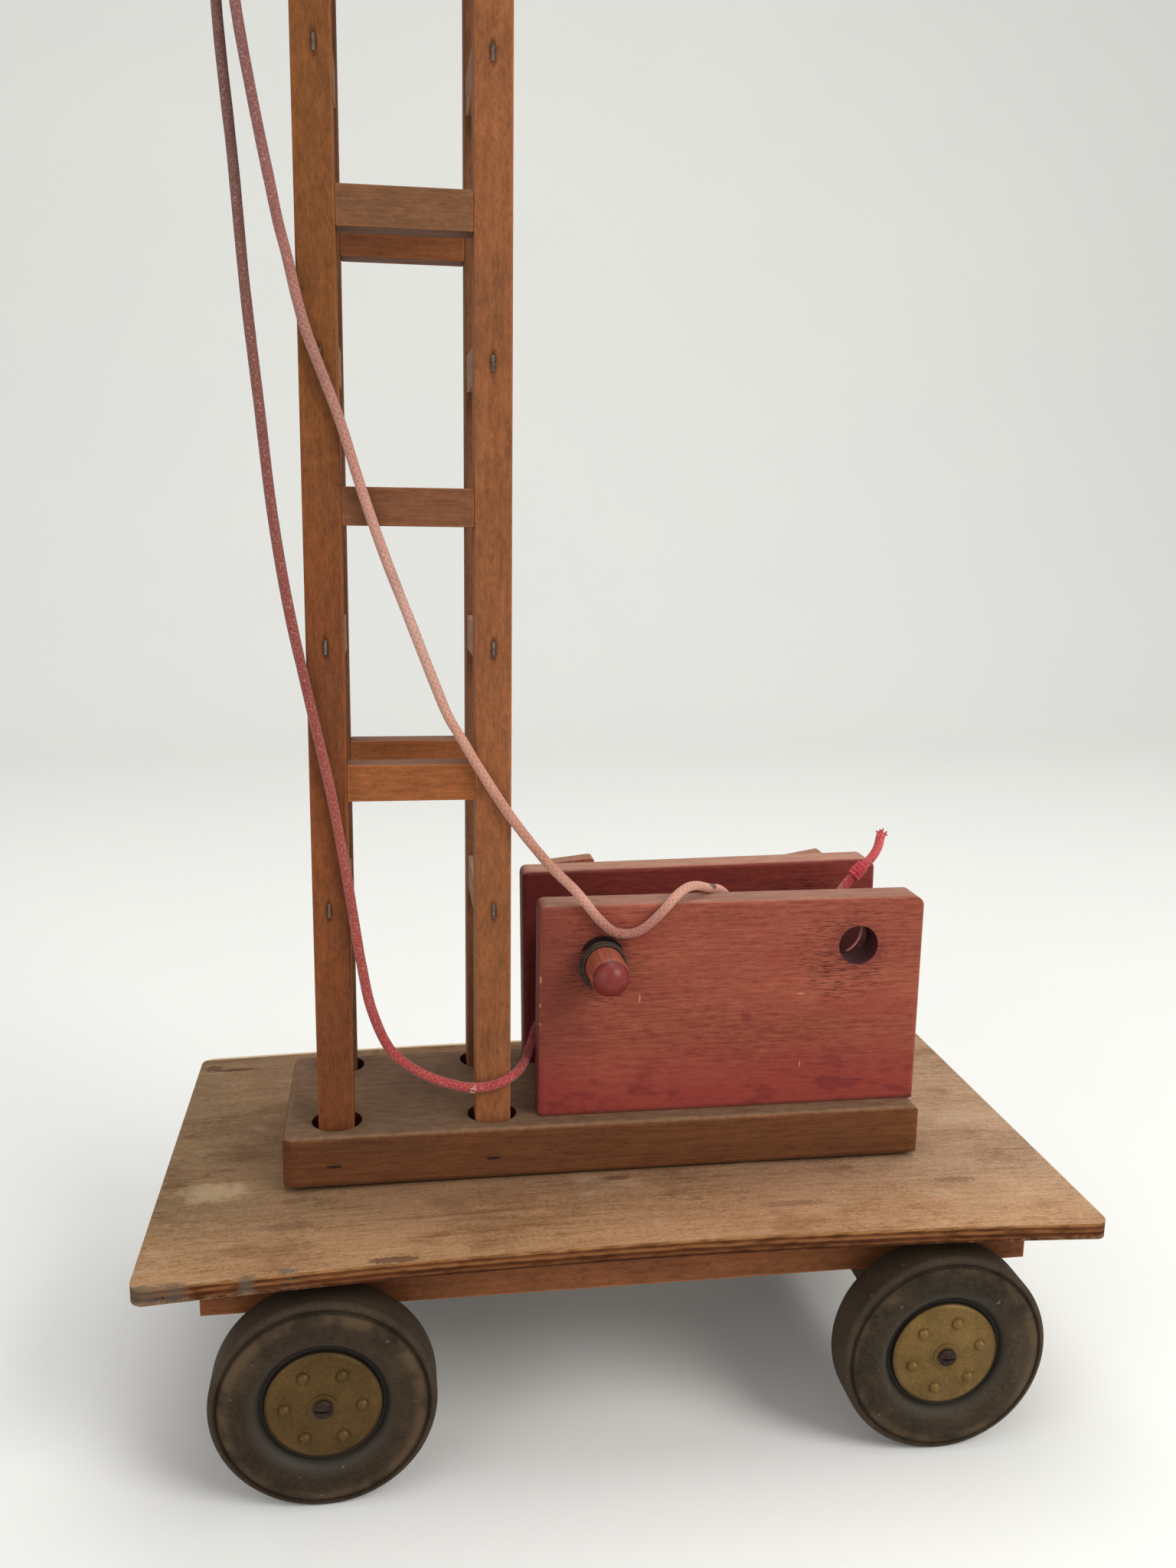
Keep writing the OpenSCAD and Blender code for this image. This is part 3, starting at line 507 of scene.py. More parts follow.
def cord_mat(name, stops, fleck, red_from=None, dark_spot=None):
    """A braided cotton cord: its tone by height, crossing strands, light flecks and fuzz.

    UV x is the length in metres, y goes round. The cord is dyed red where its x is above red_from.
    """
    m = Mat(name, 0.95, 0.1, sheen=0.2)
    m.shader.inputs["Sheen Roughness"].default_value = 0.6
    uv = m.node("ShaderNodeSeparateXYZ")
    m.link(m.node("ShaderNodeUVMap").outputs[0], uv.inputs[0])
    lo, hi = stops[0][0], stops[-1][0]
    height = m.math("DIVIDE", m.minus(m.z, lo), hi - lo)
    tone = m.ramp(height, [((z - lo) / (hi - lo), rgb(*c)) for z, c in stops])
    if red_from is not None:
        dyed = m.step(m.x, red_from, red_from + 4)
        # Below z 199, where the cord runs between the plates, the red is darker: painted shade.
        tone = m.mix(dyed, tone, m.mix(m.step(m.z, 199, 206), rgb(182, 60, 64), rgb(208, 88, 92)))
    else:
        shaded = m.mul(m.step(m.x, -39, -35), m.step(m.z, 160, 150))
        tone = m.tint(shaded, tone, (0.75, 0.7, 0.7))
    length = m.mul(uv.outputs[0], STRANDS)
    turn = m.mul(uv.outputs[1], CROSSINGS)
    strands = []
    for op in ("ADD", "SUBTRACT"):
        share = m.math("FRACT", m.math(op, length, turn))
        strands.append(m.math("ABSOLUTE", m.minus(m.mul(share, 2), 1)))
    braid = m.math("MAXIMUM", *strands)
    fuzz = m.noise(1.3, 5, 0.7)
    slow = m.noise(0.09, 3, 0.6)
    col = m.tint(m.mul(m.step(slow, 0.45, 0.7), 0.3), tone, (0.62, 0.5, 0.5))
    col = m.tint(m.mul(m.step(braid, 0.65, 0.3), 0.45), col, (0.5, 0.42, 0.42))
    col = m.mix(m.mul(m.step(fuzz, 0.52, 0.66), fleck), col, m.mix(0.5, col, rgb(240, 205, 196)))
    # A dark spot on the cord where it rests on the front plate.
    if dark_spot is not None:
        col = m.mix(m.mul(m.spot(*dark_spot, 2.4, 2.4, 2.4, 0.6), 0.85), col, rgb(58, 34, 32))
    m.color(col)
    m.bump(braid, 0.5, 0.3)
    m.bump(fuzz, 0.8, 0.35)
    return m


# The front legs' staples, as x and z on the legs' front face.
STAPLES = {"leg_lf": [(-102.6, 480.9), (-103.0, 386.0), (-103.3, 289.7), (-104.2, 195.6)],
           "leg_rf": [(-45.8, 481.3), (-45.7, 385.3), (-45.4, 289.2), (-45.3, 193.8)]}
LEG_FRONT = -32.5


def batten(node, axis, k, mid):
    """The wood of a batten, darkened round its staples."""
    m = wood("batten_" + node, axis, mid, dash=times(mid, 0.3), dash_amount=0.15, edge=box_mm(node),
             edge_col=times(mid, 1.9), edge_w=0.8, edge_amount=0.5, lines=0.14,
             shift=(k * 13.7, k * 5.1, k * 9.3))
    col = m.base()
    # The left front leg is lighter and yellower higher up, from z 290 to 400: painted light.
    if node == "leg_lf":
        col = m.tint(m.step(m.z, 290, 400), col, (1.03, 1.2, 1.1))
    # Round each staple the front face is darkened: painted shade in the staple's slot.
    for x, z in STAPLES.get(node, ()):
        slot = m.mul(m.spot(x, LEG_FRONT, z, 1.3, 0, 4.2, 0.4, 0.8), m.facing_front())
        col = m.tint(m.mul(slot, 0.8), col, (0.25, 0.22, 0.2))
    return m.color(col)


# The deck: the height and x of its crown, its half length, how far its ends droop, and its ply's thickness.
DECK_CROWN = 91.6
DECK_MID = 1.8
DECK_HALF = 170
DECK_DROOP = 2.6
PLY = 6
# The height that the marks on the deck are placed at.
DECK_MARKS_Z = 91
# The deck's tones along x, darker at the left partly from wear and partly as painted shade, and those of its
# plies downwards, each with the share where it stands or starts.
DECK_WEAR_AND_LIGHT_TONES = [(0.0, (129, 104, 77)), (0.3, (134, 102, 75)), (0.6, (132, 99, 74)), (0.78, (154, 121, 94)),
              (1.0, (166, 135, 108))]
PLY_TONES = [(0.0, (148, 104, 64)), (0.16, (96, 56, 29)), (0.34, (124, 80, 46)), (0.52, (80, 43, 20)),
             (0.72, (102, 62, 33)), (0.86, (66, 34, 16))]
# Dark bruises on the deck: x, y, the two radii and the strength.
BRUISES = ((-83, -89, 9, 2.0, 0.7), (-152, 79, 9, 1.6, 0.75), (-162, 82, 4, 3.0, 0.6), (0, -44, 5, 1.6, 0.6),
           (-102, -30, 14, 3.0, 0.4), (60, -70, 12, 2.0, 0.35), (-120, -62, 10, 3.0, 0.35),
           (128, -58, 8, 2.2, 0.4))
# Grey paint smudges on the deck's front edge: x, y and the two radii.
SMUDGES = ((-164, -93.4, 5, 1.8), (-154, -92.8, 4, 1.4), (-131, -92.2, 2.5, 1.3), (-118, -90.5, 3.5, 1.5))


def tones(stops):
    """Ramp stops with their sRGB colours as linear values."""
    return [(at, rgb(*c)) for at, c in stops]


def deck_mat():
    m = Mat("deck", 0.84, 0.1)
    fibre = m.noise((0.03, 0.55, 0.55), 5, 0.62, twist=0.2)
    fine = m.noise((0.3, 1.7, 1.7), 3, 0.65)
    grit = m.noise(0.8, 5, 0.75)
    cloud = m.noise((0.016, 0.03, 0.03), 6, 0.68)
    patch = m.noise((0.03, 0.05, 0.05), 5, 0.65, (4, 4, 4))
    f = m.sum((0.2, fibre), (0.25, fine), (0.3, grit), (0.25, cloud))
    along = m.sum((0.5 / DECK_HALF, m.plus(m.x, DECK_HALF - 2)), (0.35, m.minus(cloud, 0.5)))
    top = m.ramp(along, tones(DECK_WEAR_AND_LIGHT_TONES))
    front = m.step(m.plus(m.y, m.swing(cloud, 60)), -42, -86)
    top = m.mix(m.mul(front, 0.55), top, rgb(180, 139, 100))
    top = m.tint(m.step(f, 0.52, 0.4), top, (0.62, 0.56, 0.5))
    top = m.tint(m.step(f, 0.5, 0.6), top, (1.3, 1.3, 1.3))
    top = m.tint(m.mul(m.step(patch, 0.53, 0.68), 0.65), top, (0.62, 0.55, 0.48))
    top = m.mix(m.mul(m.step(patch, 0.42, 0.28), 0.4), top, rgb(176, 152, 124))
    line = m.noise((0.007, 0.3, 0.1), 3, 0.6, (2, 7, 0), 0.3)
    top = m.tint(m.mul(m.step(line, 0.63, 0.69), 0.5), top, (0.55, 0.48, 0.42))
    pale = m.spot(-148, -33, DECK_MARKS_Z, 11, 6, 0, 0.9, 1.2)
    top = m.mix(m.mul(pale, 0.45), top, rgb(190, 166, 132))
    for x, y, rx, ry, amount in BRUISES:
        top = m.mix(m.mul(m.spot(x, y, DECK_MARKS_Z, rx, ry, 0, 0.8), amount), top, rgb(74, 46, 30))
    speck = m.noise((0.5, 0.8, 0.8), 2, 0.5, (6, 1, 2))
    top = m.mix(m.mul(m.step(speck, 0.71, 0.76), 0.6), top, rgb(70, 48, 36))
    droop = m.mul(m.math("POWER", m.math("DIVIDE", m.minus(m.x, DECK_MID), DECK_HALF), 2), DECK_DROOP)
    depth = m.minus(m.minus(DECK_CROWN, droop), m.z)
    ply = m.ramp(m.math("DIVIDE", m.plus(depth, m.swing(cloud, 1.2)), PLY), tones(PLY_TONES), linear=False)
    ply = m.tint(m.step(m.noise((0.12, 0.12, 0.5), 5), 0.42, 0.66), ply, (0.5, 0.46, 0.42))
    col = m.mix(m.step(m.math("ABSOLUTE", m.nz), 0.75, 0.4), top, ply)
    for x, y, rx, ry in SMUDGES:
        col = m.mix(m.mul(m.spot(x, y, DECK_MARKS_Z, rx, ry, 0, 1.3, 0.8), 0.6), col, rgb(80, 77, 70))
    # The deck's underside is darkened: painted shade.
    col = m.tint(m.step(m.nz, -0.5, -0.9), col, (0.5, 0.45, 0.42))
    box = box_mm("deck")
    col = m.mix(m.mul(m.edge(box, 2.0, 1.2), 0.3), col, rgb(190, 150, 108))
    back = box[1][1]
    rear = m.mul(m.step(m.plus(m.y, m.mul(fine, 1.6)), back - 1.6, back - 0.4), m.step(depth, 1.1, 0.6))
    col = m.mix(m.mul(rear, 0.85), col, rgb(226, 204, 168))
    m.color(col)
    m.rough(m.ramp(fibre, [(0.3, 0.9), (0.7, 0.74)]))
    m.bump(fibre, 0.35, 0.3)
    m.bump(grit, 0.35, 0.2)
    return m


dress("deck", deck_mat())
for k, n in enumerate(("rail_front", "rail_back")):
    dress(n, batten(n, 0, k + 1, (128, 77, 45)))
for k, n in enumerate(("axle_beam_left", "axle_beam_right")):
    dress(n, batten(n, 1, k + 3, (84, 52, 34)))
# Each leg's own tone; the left front leg's darker tone is painted shade.
LEG_TONES_LF_SHADED = {"leg_lf": (116, 64, 32), "leg_lb": (108, 66, 38),
             "leg_rf": (133, 81, 48), "leg_rb": (116, 74, 46)}
for k, (n, mid) in enumerate(LEG_TONES_LF_SHADED.items()):
    dress(n, batten(n, 2, k + 5, mid))
for k, n in enumerate(("jib_rail_front", "jib_rail_back", "head_cheeks")):
    dress(n, batten(n, 0, k + 10, (134, 82, 48)))
dress("jib_rungs", wood("jib_rungs_wood", 1, (138, 92, 58), dash=rgb(60, 36, 22), dash_amount=0.25,
                        shift=(3, 9, 2)))

# Dark slots at the foot of the front legs, painted shade in the slots, as x, and the slots' place on the
# block.
SLOT_X = (-104.3, -46.0)
SLOT_Y, SLOT_Z = -39.8, 100.4


def block_mat():
    m = wood("block", 0, (100, 60, 33), dash=rgb(40, 22, 14), dash_amount=0.4, edge=box_mm("base_block"),
             edge_col=rgb(140, 108, 78), edge_w=1.6, top=(rgb(124, 99, 76), 0.8), rough=0.74, band=0.3,
             lines=0.3)
    col = m.base()
    for x in SLOT_X:
        # Painted shade in each slot, on the block's front face.
        slot = m.mul(m.spot(x, SLOT_Y, SLOT_Z, 2.8, 0, 0.55, 0.5), m.facing_front())
        col = m.mix(slot, col, rgb(44, 26, 18))
    return m.color(col)


dress("base_block", block_mat())


# The front plate's front face, and its pale scratches: x, z and the two radii.
PLATE_FRONT = -32
SCRATCHES = ((9.6, 157.8, 0.3, 1.7), (72.5, 157.3, 1.4, 0.3), (73.3, 128.6, 0.25, 1.1),
             (-28.2, 166.5, 0.8, 1.3), (-28.2, 156.4, 0.6, 0.9), (-28.2, 149, 0.5, 0.6))
# A dent in the front plate and a shade on the back one, as x and z, and the radius of the bearing holes.
DENT = (51.3, 148.7)
BACK_SHADE = (111, 161)
HOLE_R = 7.95


def plate_mat(node, k):
    """A red plate of the winch housing: dark dashes round its holes, dust on top, scratches in front."""
    m = Mat(node, 0.62, 0.18)
    left_x, left_z = LEFT_AXIS[0], LEFT_AXIS[2]
    right_x, right_z = RIGHT_AXIS[0], RIGHT_AXIS[2]
    s = (k * 31.0, k * 17.0, k * 7.0)
    box = box_mm(node)
    x0, z0 = box[0][0], box[0][2]
    wave = m.noise((0.01, 0.06, 0.06), 3, 0.5, s, twist=0.5)
    fibre = m.noise((0.045, 1.0, 1.0), 4, 0.6, s, twist=0.2)
    mottle = m.noise((0.2, 0.9, 0.9), 6, 0.75, s)
    f = m.sum((0.2, wave), (0.35, fibre), (0.45, mottle))
    col = m.ramp(f, [(0.39, rgb(114, 51, 37)), (0.5, rgb(138, 70, 52)), (0.61, rgb(156, 85, 62))])
    cloud = m.noise((0.022, 0.03, 0.03), 4, 0.6, s)
    col = m.mix(m.mul(m.step(cloud, 0.52, 0.7), 0.5), col, rgb(138, 56, 48))
    ragged = m.swing(cloud, 60)
    # Darker towards the plate's left end: painted shade.
    col = m.mix(m.mul(m.step(m.plus(m.x, ragged), x0 + 34, x0 - 4), 0.65), col, rgb(100, 43, 34))
    low = m.step(m.plus(m.z, m.mul(ragged, 0.5)), z0 + 32, z0 + 6)
    col = m.mix(m.mul(low, 0.7), col, rgb(134, 47, 42))
    blot = m.noise((0.06, 0.12, 0.12), 4, 0.65, (3, 1, 9))
    col = m.mix(m.mul(m.mul(low, m.step(blot, 0.5, 0.62)), 0.5), col, rgb(96, 30, 34))
    dash = m.noise((0.2, 2.6, 2.6), 2, 0.55, s)
    holes = m.math("MAXIMUM", m.near(left_x, left_z - 2, 8, 24), m.near(right_x - 5, right_z - 4, 9, 27))
    mask = m.step(m.plus(dash, m.mul(holes, 0.09)), 0.61, 0.68)
    col = m.mix(m.mul(mask, m.plus(0.38, m.mul(holes, 0.42))), col, rgb(60, 26, 22))
    rims = m.math("MAXIMUM", m.near(left_x, left_z, 8, 14), m.near(right_x, right_z, 8, 14))
    col = m.mix(m.mul(rims, 0.3), col, rgb(104, 42, 40))
    upper = m.mix(m.step(m.noise((0.1, 0.5, 0.5), 5), 0.35, 0.65), rgb(136, 97, 81), rgb(153, 111, 92))
    col = m.mix(m.mul(m.step(m.nz, 0.35, 0.95), 0.9), col, upper)
    # The end faces, facing left and right, are darker: painted shade.
    side = m.step(m.math("ABSOLUTE", m.nx), 0.6, 0.95)
    col = m.mix(m.mul(side, 0.5), col, rgb(112, 44, 40))
    col = m.mix(m.mul(m.edge(box, 1.3), 0.3), col, rgb(176, 112, 92))
    if k == 1:
        for x, z, rx, rz in SCRATCHES:
            scratch = m.mul(m.spot(x, PLATE_FRONT, z, rx, 0, rz, 0.6, 0.9), m.step(m.y, -30.5, -31.5))
            col = m.mix(m.mul(scratch, 0.55), col, rgb(200, 154, 128))
        dent = m.spot(DENT[0], PLATE_FRONT, DENT[1], 2.0, 0, 2.8, 0.9, 1.2)
        col = m.mix(m.mul(dent, 0.5), col, rgb(108, 34, 38))
        # A dark crescent on the front face above the left shaft in its hole: painted shade in the gap.
        gap = m.mul(m.near(left_x, left_z + 1.2, 8.1, 8.6), m.facing_front())
        col = m.mix(m.mul(gap, m.step(m.z, left_z + 2, left_z + 5)), col, rgb(30, 12, 14))
    else:
        col = m.tint(m.step(m.nz, 0.35, 0.95), col, (1.3, 1.35, 1.35))
        # The back plate's front face, between the plates, is darker: painted shade.
        col = m.tint(m.facing_front(), col, (0.62, 0.4, 0.48))
        col = m.tint(m.mul(m.near(*BACK_SHADE, 10, 20), m.facing_front()), col, (0.3, 0.3, 0.4))
    # A dark line along the plate's foot, where it meets the block: painted shade.
    col = m.tint(m.mul(m.step(m.z, z0 + 1.6, z0 + 0.3), 0.8), col, (0.25, 0.25, 0.25))
    # The inner wall of the right bearing hole is darkened: painted shade.
    distance = m.radius(right_x, right_z)
    inside = m.mul(m.step(distance, HOLE_R, HOLE_R - 0.25), m.step(m.math("ABSOLUTE", m.ny), 0.5, 0.2))
    col = m.mix(inside, col, rgb(64, 30, 36))
    m.color(col)
    m.rough(m.ramp(fibre, [(0.3, 0.74), (0.7, 0.54)]))
    m.bump(fibre, 0.25, 0.2)
    m.bump(mask, 0.3, -0.2)
    return m


dress("plate_front", plate_mat("plate_front", 1))
dress("plate_back", plate_mat("plate_back", 2))
for n in ("crank_left", "crank_right"):
    dress(n, wood(n + "_wood", 2, (150, 86, 64), dash=rgb(90, 38, 28), dash_amount=0.4,
                  top=(rgb(172, 124, 100), 0.9), edge=box_mm(n), edge_col=rgb(190, 132, 108), edge_w=1.0))
for n in ("knob_left", "knob_right"):
    dress(n, wood(n + "_wood", 1, (152, 80, 60), rough=0.5))


def dowel_mat(name):
    """A red dowel along Y, with a glossy dark tip in front."""
    m = Mat(name, 0.45, 0.3)
    fibre = m.noise((1.1, 0.05, 1.1), 4, 0.6)
    blot = m.noise(0.35, 4, 0.6)
    col = m.ramp(fibre, [(0.3, rgb(120, 56, 40)), (0.5, rgb(141, 72, 52)), (0.7, rgb(160, 90, 66))])
    col = m.mix(m.mul(m.step(blot, 0.5, 0.65), 0.3), col, rgb(110, 48, 44))
    wavy = m.plus(m.y, m.swing(blot, 3))
    tip = m.step(wavy, -52.2, -53.0)
    col = m.mix(m.mul(tip, 0.92), col, m.mix(blot, rgb(84, 22, 20), rgb(132, 42, 38)))
    # A dark line at the edge of the tip: painted shade in the crease.
    crease = m.mul(tip, m.step(wavy, -53.8, -53.0))
    col = m.mix(m.mul(crease, 0.6), col, rgb(60, 24, 26))
    col = m.mix(m.mul(m.step(m.ny, -0.9, -0.99), m.step(m.y, -40, -20)), col, rgb(58, 28, 32))
    m.color(col)
    m.rough(m.sum((-0.12, tip), (0.5, 1.0)))
    m.bump(fibre, 0.15, 0.15)
    return m


dress("shaft_left", dowel_mat("left_dowel"))
dress("shaft_right", dowel_mat("right_dowel"))
for n in ("jib_pin", "jib_stop", "head_axle", "tip_axle"):
    dress(n, wood(n + "_wood", 1, (186, 150, 110), rough=0.55))
for n in ("sheave_hoist", "sheave_luff", "tip_sheave"):
    dress(n, wood(n + "_wood", 0, (158, 114, 76), rough=0.5))


# Metal and rubber.
def steel(name, dark=(40, 38, 38), light=(84, 80, 78), rough=0.5, metal=0.75):
    m = Mat(name, rough, 0.5 * metal, metal=metal)
    n = m.noise(0.8, 4, 0.65)
    m.color(m.ramp(n, [(0.35, rgb(*dark)), (0.65, rgb(*light))]))
    m.rough(m.ramp(n, [(0.3, rough + 0.15), (0.7, rough - 0.1)]))
    m.bump(n, 0.2, 0.1)
    return m


dress("axle_screws", steel("axle_screw_steel", (32, 24, 17), (58, 46, 36), 0.6, 0.4))
for n in ("slew_washer", "slew_bolt", "slew_nut", "hook"):
    dress(n, steel(n + "_steel"))
dress("hook_weight", steel("weight_iron", (30, 30, 31), (56, 56, 58), 0.6))


# The tyres' and discs' tones at the left and at the right; the darker left ones are painted shade.
TYRE_TONES_LEFT_SHADED = ((46, 35, 22), (50, 40, 27))
DISC_TONES_LEFT_SHADED = ((80, 59, 27), (105, 81, 42))


def tyre_mat(name, x, k):
    """Worn rubber, by the distance from the axle: the disc's painted shadow, a pale ring partly of the
    rubber's own film and partly a painted sheen, shoulder, painted shade in the ridge's groove, and tread.
    """
    m = Mat(name, 0.78, 0.2)
    r = m.radius(x, AXLE_Z)
    cloud = m.noise(0.05, 4, 0.6, (k * 11, 0, k * 5))
    fine = m.noise(0.9, 4, 0.65)
    col = m.ramp(m.plus(m.mul(cloud, 0.6), m.mul(fine, 0.4)),
                 list(zip((0.36, 0.5, 0.66), shades(TYRE_TONES_LEFT_SHADED[k // 2], 0.5, 1.9))))
    shoulder = m.mul(m.step(r, 30, 33), m.step(r, 35.2, 34))
    col = m.mix(m.mul(shoulder, m.mul(m.step(cloud, 0.4, 0.6), 0.65)), col, rgb(84, 66, 46))
    # A pale ring near the disc: partly the rubber's own whitish film, partly a painted sheen.
    bloom_and_sheen = m.mul(m.step(m.plus(r, m.mul(cloud, 8)), 31, 25), 0.6)
    col = m.mix(bloom_and_sheen, col, rgb(66, 62, 54))
    tread = m.step(r, 36.4, 37.6)
    col = m.mix(m.mul(tread, 0.5), col, m.mix(fine, rgb(52, 43, 33), rgb(78, 66, 52)))
    scuff = m.noise((0.3, 0.3, 0.3), 3, 0.5, (k, 3, 7))
    col = m.mix(m.mul(m.step(scuff, 0.7, 0.76), 0.4), col, rgb(128, 114, 96))
    # A dark line in the groove by the ridge: painted shade.
    ridge = m.mul(m.step(r, 34.7, 35.1), m.step(r, 35.9, 35.5))
    col = m.tint(m.mul(ridge, 0.35), col, (0.45, 0.45, 0.45))
    col = m.tint(m.mul(m.step(r, 23.5, 20.5), 0.85), col, (0.25, 0.25, 0.25))
    m.color(col)
    m.rough(m.sum((-0.5, bloom_and_sheen), (-0.3, cloud), (0.95, 1.0)))
    m.bump(fine, 0.25, 0.15)
    return m


def disc_mat(name, x, tone):
    """Tarnished metal with painted shade at its rim."""
    m = Mat(name, 0.5, 0.25, metal=0.45)
    r = m.radius(x, AXLE_Z)
    cloud = m.noise(0.06, 3, 0.6, (x, 2, 0))
    fine = m.noise(1.4, 4, 0.65, (x, 0, 0))
    col = m.ramp(m.sum((0.5, cloud), (0.5, fine)), list(zip((0.36, 0.5, 0.64), shades(tone, 0.6, 1.45))))
    # A dark ring at the disc's rim, where it meets the tyre: painted shade.
    col = m.mix(m.mul(m.step(r, 19.2, 19.9), 0.7), col, rgb(40, 33, 25))
    m.color(col)
    m.rough(m.ramp(cloud, [(0.3, 0.56), (0.7, 0.46)]))
    m.bump(fine, 0.15, 0.1)
    return m


for k, w in enumerate(("lf", "lb", "rf", "rb")):
    x = AXLE_X[k // 2]
    dress("tyre_" + w, tyre_mat("tyre_rubber_" + w, x, k))
    metal = disc_mat("disc_metal_" + w, x, DISC_TONES_LEFT_SHADED[k // 2])
    dress("discs_" + w, metal)
    dress("bush_" + w, metal)
rubber = Mat("ring_rubber", 0.65, 0.2)
rubber.color(rubber.ramp(rubber.noise(0.5, 3), [(0.3, rgb(38, 29, 24)), (0.7, rgb(72, 57, 47))]))

# The y of the cords on the pulleys, and the cords' routes in the part, in millimetres, from the head's pulleys
# down: x from where they leave, y, z.
LUFF_Y, HOIST_Y = 3.6, -3.6
HX = HEAD[0] + LAY
LUFF = [(HX, LUFF_Y, 593.5)] + [(HX + x, y, z) for x, y, z in [
    (0, 3.6, 584), (0, 1, 572), (-0.6, -7.5, 535), (0.3, -16.9, 496.1), (4.3, -21.9, 446.9),
    (7.2, -26.3, 406.6), (10.7, -29.4, 370.4), (14.2, -32.1, 334.3), (18.7, -34.2, 303.4),
    (24.8, -34.8, 271.8), (31.1, -34.8, 240.8), (36, -34.8, 210.2), (40.7, -34.8, 176.5),
    (44.2, -34.8, 158.3), (50.8, -34.8, 142.7), (58.8, -34.8, 135.2), (66, -34.8, 131),
    (73.3, -34.8, 128.2), (79.6, -34.8, 126.7), (86, -34.8, 126.7), (92.1, -34.5, 128.4),
    (97.1, -31.9, 130.5), (100.4, -26.7, 132.1), (102.6, -20.9, 133.7), (104.8, -15.8, 136.7),
    (107.3, -13.2, 141.7), (111.2, -12.1, 146.2), (115.4, -13, 151.8),
    (118.4, -14.7, 157.6)]] + [(-14.1, -16, 163.8), (-14.1, -16, 169.5)]
HOIST = [(HX, HOIST_Y, 593.5)] + [(HX + x, y, z) for x, y, z in [
    (0, -3.6, 584), (0.5, -5.5, 572), (3, -13.5, 533), (6.8, -23.4, 494.3), (11.9, -27.7, 463),
    (16.6, -31.3, 438.4), (18.9, -33.2, 426.6), (21.5, -34.1, 416.1), (24, -34.8, 404.3),
    (26.8, -34.8, 393.7), (30, -34.8, 384.7), (37, -34.8, 365.8), (43.3, -34.8, 344.8),
    (51.1, -34.8, 321.4), (59.6, -34.8, 298.9), (68.1, -34.8, 276.4), (72.5, -34.8, 265.6),
    (77.3, -34.8, 257.4), (82.7, -34.8, 248), (94.7, -34.8, 229.1), (108.6, -34.8, 211.2),
    (119, -34.6, 200.4), (127.3, -34.1, 189.9), (132.7, -33.9, 185.1), (138, -33.9, 184),
    (142.7, -33.9, 185.1), (147.3, -33.9, 188.6), (151.9, -34.1, 193.3), (156.7, -32.9, 198.2),
    (160.9, -30, 200), (165.5, -25.8, 199.5), (171.5, -21, 197), (177, -16.6, 194.9), (181, -14.2, 190.8),
    (184.8, -12, 183.5), (189, -10.2, 175), (195, -8.5, 167), (204, -6.6, 160.5), (213.5, -5, 159),
    (220.5, -4, 163), (224.3, -4, 170.5), (226.2, -4, 179), (229, -4, 187.5), (233.2, -4, 193.5),
    (237.5, -4, 198), (241.8, -4, 202.2), (244.7, -4, 207), (245.8, -4, 213)]]
# The cords' tones by height in millimetres.
RED_TONES = [(124, (168, 62, 60)), (143, (156, 54, 52)), (176, (154, 66, 57)), (240, (148, 69, 57)),
             (303, (134, 66, 57)), (370, (122, 71, 60)), (447, (114, 76, 66))]
PINK_TONES = [(182, (146, 86, 72)), (189, (166, 111, 95)), (198, (200, 145, 126)), (211, (174, 120, 99)),
              (248, (192, 136, 112)), (299, (193, 151, 136)), (345, (184, 129, 113)), (385, (156, 108, 93)),
              (404, (160, 106, 92)), (427, (142, 87, 79)), (463, (129, 81, 76))]
# The x past which the hoist cord is dyed red, and a dark spot on it where it rests on the front plate.
DYED_FROM = 94
DARK_SPOT = (38.6, -20, 198.2)
red_cord = cord_mat("red_cord", RED_TONES, 0.45)
pink_cord = cord_mat("pink_cord", PINK_TONES, 0.5, DYED_FROM, DARK_SPOT)


def length_of(path):
    return float(np.linalg.norm(np.diff(np.array(path), axis=0), axis=1).sum()) * MM


def free_cord(name, points, mat, node, slot):
    path = smooth_path(points, 1.5)
    o = tube(name, path, CORD_D / 2, mat, "superstructure", 14, slot, uneven=0.03)
    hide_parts(node)
    length_of(path)
    return o


free_cord("luff_line", LUFF, red_cord, "luff_cord", "red_cord")
free_cord("hoist_line", HOIST, pink_cord, "hoist_cord", "pink_cord")

# Loose fibres: the frayed end, the whipping with its fuzz, a white tuft, a strand in the empty bearing.
bright = cord_mat("frayed_red", [(192, (196, 52, 60)), (216, (204, 70, 78))], 0.35)
fibres("frayed_end", (111.8, -4, 211.2), (0.1, 0, 1), 30, 2.2, 0.55, 0.22, bright, "pink_cord")
# The whipping's two ends on the cord, its radius and its angle from end to end in radians.
KNOT = np.array(((101.2, -4, 195.4), (105.0, -4, 199.6)))
WHIPPING_R = 2.15
WHIPPING_ANGLE = 44
along = KNOT[1] - KNOT[0]
across = np.array((-along[2], 0, along[0])) / np.hypot(along[0], along[2])
back = np.array((0, 1, 0))
whipping = []
for t in np.linspace(0, 1, 120):
    angle = WHIPPING_ANGLE * t
    whipping.append(KNOT[0] + along * t + WHIPPING_R * (math.cos(angle) * across + math.sin(angle) * back))
tube("whipping", whipping, lambda t: 0.62 + 0.12 * math.sin(19 * t), bright, "superstructure", 8, "pink_cord",
     uneven=0.1)
fibres("fuzz_knot", (102.8, -4, 197.4), (0.35, -0.4, 0.5), 60, 1.9, 0.45, 1.4, bright, "pink_cord")
white = cord_mat("white_fibre", [(100, (226, 204, 192)), (140, (236, 222, 210))], 0.3)
fibres("white_tuft", (-53.5, -36.5, 126.4), (1, -0.1, 0.12), 8, 2.6, 0.18, 0.22, white, "red_cord")
strand_mat = cord_mat("strand", [(170, (168, 100, 84)), (184, (150, 82, 70))], 0.3)
